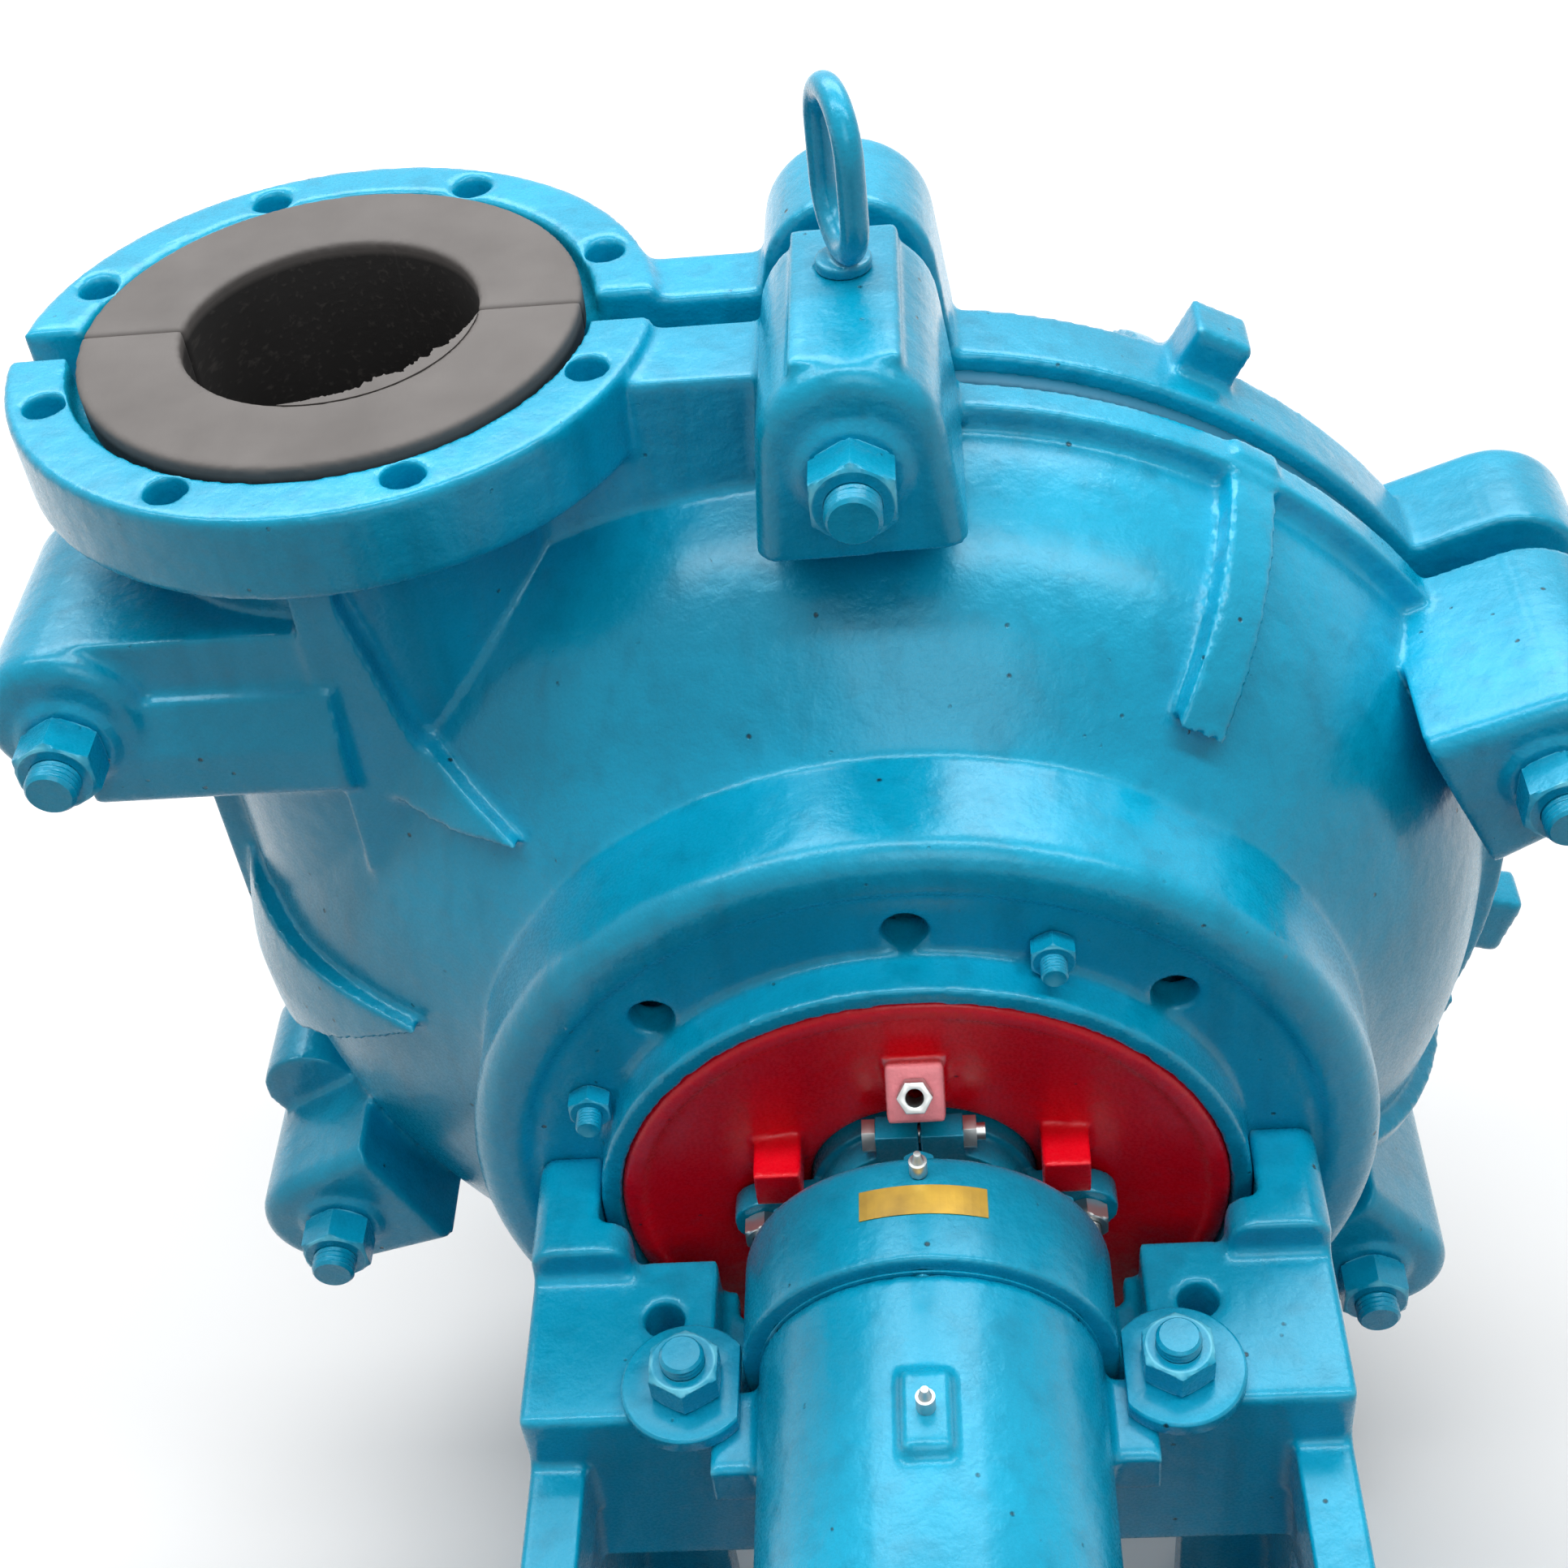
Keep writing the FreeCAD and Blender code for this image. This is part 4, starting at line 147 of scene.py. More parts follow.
def edge_and_corner_masks(tree, lumps):
    """Masks of the edges, worn paint and painted highlight, and of the corners, pooled paint and
    painted shade.
    """
    bend = add_node(tree, "ShaderNodeNewGeometry").outputs["Pointiness"]
    # Convex edges, paled for worn paint and for a painted highlight; the roughness of wear follows
    # them too
    edge = add_node(tree, "ShaderNodeMapRange",
                    [("Value", bend), ("From Min", 0.54), ("From Max", 0.62)])
    broken = add_node(tree, "ShaderNodeMapRange",
                      [("Value", lumps), ("From Min", 0.38), ("From Max", 0.62)])
    worn_and_highlit = add_node(tree, "ShaderNodeMath",
                    [(0, edge.outputs[0]), (1, broken.outputs[0])], operation="MULTIPLY")
    # Concave corners of the mesh, darkened for pooled paint and for painted shade
    corner = add_node(tree, "ShaderNodeMapRange",
                      [("Value", bend), ("From Min", 0.485), ("From Max", 0.43)])
    return worn_and_highlit.outputs[0], corner.outputs[0]


def tinted_boss(tree, place, colour, boss):
    """Another tint over one boss: inside a turned cube round its centre."""
    centre, turn, half, tint = boss
    flat = add_node(tree, "ShaderNodeMapping",
                    [("Vector", place), ("Location", centre), ("Rotation", turn)],
                    vector_type="TEXTURE")
    parts = add_node(tree, "ShaderNodeSeparateXYZ", [("Vector", flat.outputs[0])])
    across = add_node(tree, "ShaderNodeMath", [(0, parts.outputs[0])], operation="ABSOLUTE")
    along = add_node(tree, "ShaderNodeMath", [(0, parts.outputs[1])], operation="ABSOLUTE")
    high = add_node(tree, "ShaderNodeMath", [(0, parts.outputs[2])], operation="ABSOLUTE")
    widest = add_node(tree, "ShaderNodeMath",
                      [(0, across.outputs[0]), (1, along.outputs[0])], operation="MAXIMUM")
    widest = add_node(tree, "ShaderNodeMath",
                      [(0, widest.outputs[0]), (1, high.outputs[0])], operation="MAXIMUM")
    face = add_node(tree, "ShaderNodeMapRange",
                    [("Value", widest.outputs[0]), ("From Min", half - TINT_ENDS),
                     ("From Max", half), ("To Min", 1.0), ("To Max", 0.0)])
    return add_node(tree, "ShaderNodeMix",
                    [("Factor", face.outputs[0]), (MIX_A, colour), (MIX_B, linear(tint))],
                    data_type="RGBA").outputs[MIX_OUT]


def enamel_bumps(tree, relief):
    """Height: lumps of a millimetre, then runs, then grain of a fifth of one, then the pits."""
    runs, grain, lumps, pit = relief[1:]
    bump = add_node(tree, "ShaderNodeBump",
                    [("Height", lumps), ("Distance", 1.2 * MM), ("Strength", 0.8)])
    bump = add_node(tree, "ShaderNodeBump",
                    [("Height", runs), ("Distance", 0.7 * MM), ("Strength", 0.6),
                     ("Normal", bump.outputs[0])])
    bump = add_node(tree, "ShaderNodeBump",
                    [("Height", grain), ("Distance", 0.22 * MM), ("Strength", 0.7),
                     ("Normal", bump.outputs[0])])
    return add_node(tree, "ShaderNodeBump",
                    [("Height", pit), ("Distance", 0.8 * MM), ("Strength", 1.0),
                     ("Normal", bump.outputs[0])], invert=True).outputs[0]


def sand_cast_enamel(name, body, deep, thin, sheen, wet, boss=None):
    """Brushed gloss enamel over rough sand-cast iron.

    The eye sees a wet gloss that breaks up over the grain of the sand, small blow holes, slow runs
    of thicker paint, darker paint in corners that is pooled paint and painted shade, and pale thin
    paint on every edge that is worn paint and a painted highlight.
    """
    material, tree, shader, place = new_material(name)
    relief = sanded_relief(tree, place)
    tone, runs, grain, lumps, pit = relief
    worn_and_highlit, corner = edge_and_corner_masks(tree, lumps)
    shade = add_node(tree, "ShaderNodeMapRange",
                     [("Value", tone), ("From Min", 0.3), ("From Max", 0.7), ("To Min", 0.0),
                      ("To Max", 0.55)])
    colour = add_node(tree, "ShaderNodeMix",
                      [("Factor", shade.outputs[0]), (MIX_A, linear(body)), (MIX_B, linear(deep))],
                      data_type="RGBA").outputs[MIX_OUT]
    streak = add_node(tree, "ShaderNodeMapRange",
                      [("Value", runs), ("From Min", 0.5), ("From Max", 0.75), ("To Min", 0.0),
                       ("To Max", 0.35)])
    colour = add_node(tree, "ShaderNodeMix",
                      [("Factor", streak.outputs[0]), (MIX_A, colour), (MIX_B, linear(deep))],
                      data_type="RGBA").outputs[MIX_OUT]
    if boss is not None:
        colour = tinted_boss(tree, place, colour, boss)
    # Darker paint in the corners: pooled paint and painted shade
    pooled_and_shaded = add_node(tree, "ShaderNodeMath", [(0, corner), (1, POOLED_AND_SHADED_SHARE)],
                      operation="MULTIPLY")
    # Pale paint on the edges: worn thin paint and a painted highlight
    thinned_and_highlit = add_node(tree, "ShaderNodeMath", [(0, worn_and_highlit), (1, THINNED_AND_HIGHLIT_SHARE)],
                       operation="MULTIPLY")
    for share, tint in ((pooled_and_shaded.outputs[0], deep), (thinned_and_highlit.outputs[0], thin), (pit, HOLE_SHADOW)):
        colour = add_node(tree, "ShaderNodeMix",
                          [("Factor", share), (MIX_A, colour), (MIX_B, linear(tint))],
                          data_type="RGBA").outputs[MIX_OUT]
    tree.links.new(colour, shader.inputs["Base Color"])
    # Gloss, duller over the grain and on worn edges
    gloss = add_node(tree, "ShaderNodeMapRange",
                     [("Value", grain), ("From Min", 0.35), ("From Max", 0.65), ("To Min", 0.2),
                      ("To Max", 0.36)])
    gloss = add_node(tree, "ShaderNodeMath",
                     [(0, worn_and_highlit), (1, WORN_ROUGHNESS), (2, gloss.outputs[0])],
                     operation="MULTIPLY_ADD")
    tree.links.new(gloss.outputs[0], shader.inputs["Roughness"])
    shader.inputs["Coat Weight"].default_value = wet
    shader.inputs["Coat Roughness"].default_value = GLOSS_ROUGHNESS
    shader.inputs["Specular Tint"].default_value = linear(sheen)
    tree.links.new(enamel_bumps(tree, relief), shader.inputs["Normal"])
    return material


# Rubber: the share of dust left below the open face, the depth over which it ends, and its tints
DUST_BELOW = 0.04
DUST_ENDS = 3.0 * MM
RUBBED_GREY = "#5E5A57"
BRUSHED_OVER = "#00607C"


def painted_joint(tree, place, colour):
    """The enamel that the brush left on the rubber's edge in the joint of the casing."""
    axis = add_node(tree, "ShaderNodeVectorMath",
                    [(0, place), (1, (0.0, 0.0, -SHAFT_Z))], operation="ADD")
    axis = add_node(tree, "ShaderNodeVectorMath",
                    [(0, axis.outputs[0]), (1, (1.0, 0.0, 1.0))], operation="MULTIPLY")
    away = add_node(tree, "ShaderNodeVectorMath", [(0, axis.outputs[0])], operation="LENGTH")
    outer = add_node(tree, "ShaderNodeMath",
                     [(0, away.outputs["Value"]), (1, PAINTED_FROM)], operation="GREATER_THAN")
    parts = add_node(tree, "ShaderNodeSeparateXYZ", [("Vector", place)])
    beside = add_node(tree, "ShaderNodeMath",
                      [(0, parts.outputs[0]), (1, PAINTED_RIGHT_OF)], operation="GREATER_THAN")
    brushed = add_node(tree, "ShaderNodeMath",
                       [(0, outer.outputs[0]), (1, beside.outputs[0])], operation="MULTIPLY")
    return add_node(tree, "ShaderNodeMix",
                    [("Factor", brushed.outputs[0]), (MIX_A, colour),
                     (MIX_B, linear(BRUSHED_OVER))], data_type="RGBA").outputs[MIX_OUT]


def moulded_rubber(name, clean, dusty, dust_from=None):
    """Press moulded natural rubber: matt black, grey-brown with dust where it lies open to the yard.

    Dust lies on the open face alone, above the height dust_from, and all over where none is given.
    """
    material, tree, shader, place = new_material(name)
    cloud = add_node(tree, "ShaderNodeTexNoise",
                     [("Vector", place), ("Scale", 1 / (45 * MM)), ("Detail", 5.0)])
    # Brushed marks of the wiped mould, 3 mm apart
    wipe = add_node(tree, "ShaderNodeMapping",
                    [("Vector", place), ("Rotation", (0.0, 0.0, 0.5)), ("Scale", (1.0, 0.2, 1.0))])
    marks = add_node(tree, "ShaderNodeTexNoise",
                     [("Vector", wipe.outputs[0]), ("Scale", 1 / (3 * MM)), ("Detail", 2.0)])
    amount = add_node(tree, "ShaderNodeMapRange",
                      [("Value", cloud.outputs["Fac"]), ("From Min", 0.25), ("From Max", 0.7),
                       ("To Min", 1.0), ("To Max", 0.78)]).outputs[0]
    if dust_from is not None:
        parts = add_node(tree, "ShaderNodeSeparateXYZ", [("Vector", place)])
        lit = add_node(tree, "ShaderNodeMapRange",
                       [("Value", parts.outputs[2]), ("From Min", dust_from - DUST_ENDS),
                        ("From Max", dust_from), ("To Min", DUST_BELOW), ("To Max", 1.0)])
        amount = add_node(tree, "ShaderNodeMath", [(0, amount), (1, lit.outputs[0])],
                          operation="MULTIPLY").outputs[0]
    colour = add_node(tree, "ShaderNodeMix",
                      [("Factor", amount), (MIX_A, linear(clean)), (MIX_B, linear(dusty))],
                      data_type="RGBA").outputs[MIX_OUT]
    rubbed = add_node(tree, "ShaderNodeMapRange",
                      [("Value", marks.outputs["Fac"]), ("From Min", 0.58), ("From Max", 0.72),
                       ("To Min", 0.0), ("To Max", 0.3)])
    colour = add_node(tree, "ShaderNodeMix",
                      [("Factor", rubbed.outputs[0]), (MIX_A, colour),
                       (MIX_B, linear(RUBBED_GREY))], data_type="RGBA").outputs[MIX_OUT]
    if dust_from is not None:
        colour = painted_joint(tree, place, colour)
    tree.links.new(colour, shader.inputs["Base Color"])
    dull = add_node(tree, "ShaderNodeMapRange",
                    [("Value", cloud.outputs["Fac"]), ("To Min", 0.55), ("To Max", 0.8)])
    tree.links.new(dull.outputs[0], shader.inputs["Roughness"])
    bump = add_node(tree, "ShaderNodeBump",
                    [("Height", marks.outputs["Fac"]), ("Distance", 0.25 * MM),
                     ("Strength", 0.6)])
    tree.links.new(bump.outputs[0], shader.inputs["Normal"])
    return material


# Bare metal: how far handling marks take the roughness down and up, and that of the film on top
POLISHED_BY = 0.08
DULLED_BY = 0.12
FILM_ROUGHNESS = 0.1


def bare_metal(name, bright, dull, rough, line, along, film=0.0):
    """A bare metal: fine lines left by the tool, cloudy handling marks, and a clear film on top.

    rough is its middle roughness, line the width of a tool line in millimetres, and along how
    many times finer the lines stand in each direction.
    """
    material, tree, shader, place = new_material(name)
    shader.inputs["Metallic"].default_value = 1.0
    cloud = add_node(tree, "ShaderNodeTexNoise",
                     [("Vector", place), ("Scale", 1 / (25 * MM)), ("Detail", 4.0)])
    # Tool lines stand across the direction the tool was fed in
    stretch = add_node(tree, "ShaderNodeMapping", [("Vector", place), ("Scale", along)])
    lines = add_node(tree, "ShaderNodeTexNoise",
                     [("Vector", stretch.outputs[0]), ("Scale", 1 / (line * MM)),
                      ("Detail", 2.0)])
    mixed = add_node(tree, "ShaderNodeMapRange",
                     [("Value", cloud.outputs["Fac"]), ("From Min", 0.3), ("From Max", 0.7)])
    colour = add_node(tree, "ShaderNodeMix",
                      [("Factor", mixed.outputs[0]), (MIX_A, linear(bright)),
                       (MIX_B, linear(dull))], data_type="RGBA")
    tree.links.new(colour.outputs[MIX_OUT], shader.inputs["Base Color"])
    spread = add_node(tree, "ShaderNodeMapRange",
                      [("Value", cloud.outputs["Fac"]), ("To Min", rough - POLISHED_BY),
                       ("To Max", rough + DULLED_BY)])
    tree.links.new(spread.outputs[0], shader.inputs["Roughness"])
    shader.inputs["Coat Weight"].default_value = film
    shader.inputs["Coat Roughness"].default_value = FILM_ROUGHNESS
    bump = add_node(tree, "ShaderNodeBump",
                    [("Height", lines.outputs["Fac"]), ("Distance", 0.06 * MM),
                     ("Strength", 0.5)])
    tree.links.new(bump.outputs[0], shader.inputs["Normal"])
    return material


def raw_cast_iron(name):
    """White iron as it left the sand: dark grey and rough, with a brown bloom of rust in patches."""
    material, tree, shader, place = new_material(name)
    shader.inputs["Metallic"].default_value = 0.7
    sand = add_node(tree, "ShaderNodeTexNoise",
                    [("Vector", place), ("Scale", 1 / (1.4 * MM)), ("Detail", 5.0)])
    rust = add_node(tree, "ShaderNodeTexNoise",
                    [("Vector", place), ("Scale", 1 / (30 * MM)), ("Detail", 4.0)])
    bloom = add_node(tree, "ShaderNodeMapRange",
                     [("Value", rust.outputs["Fac"]), ("From Min", 0.48), ("From Max", 0.68)])
    colour = add_node(tree, "ShaderNodeMix",
                      [("Factor", bloom.outputs[0]), (MIX_A, linear("#6E6C6A")),
                       (MIX_B, linear("#6B4A35"))], data_type="RGBA")
    tree.links.new(colour.outputs[MIX_OUT], shader.inputs["Base Color"])
    rough = add_node(tree, "ShaderNodeMapRange",
                     [("Value", sand.outputs["Fac"]), ("To Min", 0.5), ("To Max", 0.75)])
    tree.links.new(rough.outputs[0], shader.inputs["Roughness"])
    bump = add_node(tree, "ShaderNodeBump",
                    [("Height", sand.outputs["Fac"]), ("Distance", 0.35 * MM),
                     ("Strength", 0.9)])
    tree.links.new(bump.outputs[0], shader.inputs["Normal"])
    return material


# One plait of the packing, and how many units of its wave pattern make one wave
PLAIT = 3.0 * MM
WAVE_SPAN = 6.28


def braided_packing(name):
    """Plaited graphited yarn: paler on the ridges of the plait, dark and greasy between them."""
    material, tree, shader, place = new_material(name)
    plait = add_node(tree, "ShaderNodeTexWave",
                     [("Vector", place), ("Scale", 1 / (WAVE_SPAN * PLAIT)), ("Distortion", 1.0),
                      ("Detail", 1.0)], bands_direction="DIAGONAL")
    colour = add_node(tree, "ShaderNodeMix",
                      [("Factor", plait.outputs["Fac"]), (MIX_A, linear("#2E2B27")),
                       (MIX_B, linear("#6B6252"))], data_type="RGBA")
    tree.links.new(colour.outputs[MIX_OUT], shader.inputs["Base Color"])
    rough = add_node(tree, "ShaderNodeMapRange",
                     [("Value", plait.outputs["Fac"]), ("To Min", 0.45), ("To Max", 0.8)])
    tree.links.new(rough.outputs[0], shader.inputs["Roughness"])
    bump = add_node(tree, "ShaderNodeBump",
                    [("Height", plait.outputs["Fac"]), ("Distance", 0.5 * MM),
                     ("Strength", 0.8)])
    tree.links.new(bump.outputs[0], shader.inputs["Normal"])
    return material


# The square boss under the seal water fitting: its centre, its tilt, half its width and its tint
PORT_BOSS = (tuple(on_pump(0, -246.7, 97)), (math.radians(50), 0.0, 0.0), 14.5 * MM, "#E58890")
# Two brushed coats of gloss machine enamel: full turquoise, deep in corners where it pooled and as
# painted shade, pale on edges where it wore thin and as a painted highlight
TURQUOISE = sand_cast_enamel("turquoise_gloss_enamel_on_casting", "#00A6CC", "#006E8C", "#7CD8EC",
                             "#8CE4FF", 0.35)
# One coat of red gloss enamel: even and deep, with a softer gloss, and pink on the boss; darker in
# corners as pooled paint and painted shade, paler on edges as worn paint and a painted highlight
RED = sand_cast_enamel("red_gloss_enamel_on_casting", "#FC0220", "#DC0018", "#F0606C", "#FFC0C4",
                       0.1, PORT_BOSS)
# Wear liners of press moulded natural rubber: dusty grey-brown in the open flange, black inside
LINER = moulded_rubber("dusty_black_liner_rubber", "#1A1919", "#625E5C", SHAFT_Z + OPEN_FACE)
# Seals of moulded nitrile rubber: black and clean
SEAL = moulded_rubber("black_seal_rubber", "#171717", "#2C2B2A")
# Turned and ground carbon steel under an oil film: grey, with rings round the shaft
STEEL = bare_metal("turned_shaft_steel", "#B9BCBE", "#96999B", 0.3, 0.8, (1.0, 6.0, 1.0), 0.3)
# Bright zinc plate on turned steel: pale and clouded, with a fine even grain
ZINC = bare_metal("bright_zinc_plate", "#D5D8D8", "#AEB3B2", 0.36, 0.6, (1.0, 1.0, 1.0))
# Machined cast bronze: warm yellow-brown with turned rings
BRONZE = bare_metal("machined_bronze", "#C79A5A", "#A67B3F", 0.34, 0.6, (1.0, 5.0, 1.0))
# Abrasion resistant white iron, left as cast: dark, rough and rusty in patches
IRON = raw_cast_iron("raw_white_iron_casting")
# Graphited gland packing: a dark plait with paler ridges
PACKING = braided_packing("graphited_gland_packing")
# Lacquered brass foil, rolled thin: gold, dulled in patches, under a clear film
FOIL = bare_metal("lacquered_brass_foil", "#D8B04A", "#8E7440", 0.4, 1.5, (1.0, 1.0, 1.0), 0.4)

SLOT_FINISH = {
    "turquoise_enamel": TURQUOISE,
    "red_enamel": RED,
    "liner_rubber": LINER,
    "seal_rubber": SEAL,
    "impeller_iron": IRON,
    "ground_steel": STEEL,
    "zinc_steel": ZINC,
    "bronze": BRONZE,
    "packing_fibre": PACKING,
}
SLOT_OF = {row["node"]: row["material_slot"] for row in frame["record"]["subparts"]}
BODY_OF = {node: body for body, members in frame["record"]["behaviour"]["bodies"].items()
           for node in members}

for node_name, node_object in nodes.items():
    node_object.data.materials.clear()
    node_object.data.materials.append(SLOT_FINISH[SLOT_OF[node_name]])


# Corners of a solid's surface that lie nearer than this are one corner
SAME_CORNER = 0.004 * MM


def merged_copy(node):
    """A bmesh of a solid's own surface with its loose triangles joined."""
    mesh = bmesh.new()
    mesh.from_mesh(nodes[node].data)
    bmesh.ops.remove_doubles(mesh, verts=mesh.verts, dist=SAME_CORNER)
    return mesh


def in_scene(name, data):
    """A new object for a mesh, a lamp or a camera, in the scene."""
    new = bpy.data.objects.new(name, data)
    bpy.context.scene.collection.objects.link(new)
    return new


def plain_mesh(name, shape):
    """A mesh made from a bmesh, which is freed."""
    mesh = bpy.data.meshes.new(name)
    shape.to_mesh(mesh)
    shape.free()
    return mesh


def finish_piece(name, mesh, node, finish=None):
    """Puts a finished mesh in the scene in the place of a solid, on the solid's body."""
    mesh.name = name
    mesh.materials.clear()
    mesh.materials.append(finish or SLOT_FINISH[SLOT_OF[node]])
    piece = in_scene(name, mesh)
    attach(piece, BODY_OF[node])
    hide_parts(node)
    return piece


def evaluated_mesh(piece):
    """The mesh that an object's modifiers give, with the object itself taken away."""
    shown = piece.evaluated_get(bpy.context.evaluated_depsgraph_get())
    mesh = bpy.data.meshes.new_from_object(shown)
    bpy.data.objects.remove(piece)
    return mesh


def rounded_casting(name, node, grid, passes, most):
    """A casting: the solid cut again on a fine grid, its corners rubbed round, and thinned."""
    piece = in_scene(name, plain_mesh(name, merged_copy(node)))
    skin = piece.modifiers.new("skin", "REMESH")
    skin.mode = "VOXEL"
    skin.voxel_size = grid * MM
    skin.use_smooth_shade = True
    rub = piece.modifiers.new("rub", "SMOOTH")
    rub.factor = 0.5
    rub.iterations = passes
    mesh = evaluated_mesh(piece)
    triangles = 2 * len(mesh.polygons)
    if triangles > most:
        piece = in_scene(name, mesh)
        thin = piece.modifiers.new("thin", "DECIMATE")
        thin.ratio = most / triangles
        mesh = evaluated_mesh(piece)
    return finish_piece(name, mesh, node)


# Name, solid, grid in millimetres, passes that rub the corners round, and most triangles
CASTINGS = [
    ("frame_plate_casting", "frame_plate", 2.0, 8, 190000),
    ("cover_plate_casting", "cover_plate", 2.4, 7, 150000),
    ("base_frame_casting", "base_frame", 2.4, 6, 170000),
    ("bearing_housing_casting", "bearing_housing", 2.2, 3, 120000),
    ("front_end_cover_casting", "front_end_cover", 1.5, 3, 60000),
    ("rear_end_cover_casting", "rear_end_cover", 1.5, 3, 60000),
    ("stuffing_box_casting", "stuffing_box", 1.7, 3, 120000),
    ("gland_left_casting", "gland_half_left", 1.0, 3, 30000),
    ("gland_right_casting", "gland_half_right", 1.0, 3, 30000),
    ("lifting_eye_forging", "lifting_eye", 0.8, 6, 40000),
    ("frame_liner_moulding", "frame_plate_liner", 1.8, 2, 150000),
    ("cover_liner_moulding", "cover_plate_liner", 1.8, 2, 150000),
]
for row in CASTINGS:
    rounded_casting(*row)

# Edges that turn by more than this stay sharp on turned and milled pieces
CREASE = math.radians(28)


# Nuts, bolt heads and studs, all placed and sized from the loose parts of the solids


def new_tree(name, sizes):
    """An empty geometry tree that takes points, named sizes and a material."""
    tree = bpy.data.node_groups.new(name, "GeometryNodeTree")
    tree.interface.new_socket("Points", in_out="INPUT", socket_type="NodeSocketGeometry")
    for size in sizes:
        tree.interface.new_socket(size, in_out="INPUT", socket_type="NodeSocketFloat")
    tree.interface.new_socket("Material", in_out="INPUT", socket_type="NodeSocketMaterial")
    tree.interface.new_socket("Geometry", in_out="OUTPUT", socket_type="NodeSocketGeometry")
    return tree, add_node(tree, "NodeGroupInput").outputs


def end_tree(tree, given, shape):
    """Puts the shape on every point, turned as the point says, and makes it real geometry."""
    turning = add_node(tree, "GeometryNodeInputNamedAttribute", [("Name", "turning")],
                       data_type="FLOAT_VECTOR")
    copies = add_node(tree, "GeometryNodeInstanceOnPoints",
                      [("Points", given["Points"]), ("Instance", shape),
                       ("Rotation", turning.outputs["Attribute"])])
    solid = add_node(tree, "GeometryNodeRealizeInstances", [("Geometry", copies.outputs[0])])
    bend = add_node(tree, "GeometryNodeInputMeshEdgeAngle")
    sharp = add_node(tree, "FunctionNodeCompare", [(0, bend.outputs[0]), (1, CREASE)],
                     operation="GREATER_THAN")
    smooth = add_node(tree, "GeometryNodeSetShadeSmooth",
                      [("Geometry", solid.outputs[0]), ("Shade Smooth", True)], domain="FACE")
    creased = add_node(tree, "GeometryNodeSetShadeSmooth",
                       [("Geometry", smooth.outputs[0]), ("Selection", sharp.outputs[0]),
                        ("Shade Smooth", False)], domain="EDGE")
    painted = add_node(tree, "GeometryNodeSetMaterial",
                       [("Geometry", creased.outputs[0]), ("Material", given["Material"])])
    add_node(tree, "NodeGroupOutput", [("Geometry", painted.outputs[0])])


def polar_parts(tree):
    """x, y, z of each point of the mesh, its distance from the z axis and its angle about it."""
    place = add_node(tree, "GeometryNodeInputPosition")
    parts = add_node(tree, "ShaderNodeSeparateXYZ", [("Vector", place.outputs[0])]).outputs
    flat = add_node(tree, "ShaderNodeCombineXYZ", [(0, parts[0]), (1, parts[1])])
    distance = add_node(tree, "ShaderNodeVectorMath", [(0, flat.outputs[0])], operation="LENGTH")
    angle = add_node(tree, "ShaderNodeMath", [(0, parts[1]), (1, parts[0])], operation="ARCTAN2")
    return parts, distance.outputs["Value"], angle.outputs[0]


def move_radially(tree, shape, parts, old, new, height):
    """Sets each point's distance from the z axis to a new one, and its height."""
    # A point on the axis itself is taken to lie just off it, so that nothing is divided by nought
    least = add_node(tree, "ShaderNodeMath", [(0, old), (1, 0.001 * MM)], operation="MAXIMUM")
    ratio = add_node(tree, "ShaderNodeMath", [(0, new), (1, least.outputs[0])], operation="DIVIDE")
    across = add_node(tree, "ShaderNodeMath", [(0, parts[0]), (1, ratio.outputs[0])],
                      operation="MULTIPLY")
    along = add_node(tree, "ShaderNodeMath", [(0, parts[1]), (1, ratio.outputs[0])],
                     operation="MULTIPLY")
    place = add_node(tree, "ShaderNodeCombineXYZ",
                     [(0, across.outputs[0]), (1, along.outputs[0]), (2, height)])
    return add_node(tree, "GeometryNodeSetPosition",
                    [("Geometry", shape), ("Position", place.outputs[0])]).outputs[0]


# Steps round a nut and round its section, and the part of the flats where the chamfer starts
NUT_STEPS = 72
SECTION_STEPS = 52
CHAMFER_START = 0.95
# A bore under this is none, and the piece is a closed head
LEAST_BORE = 0.01 * MM


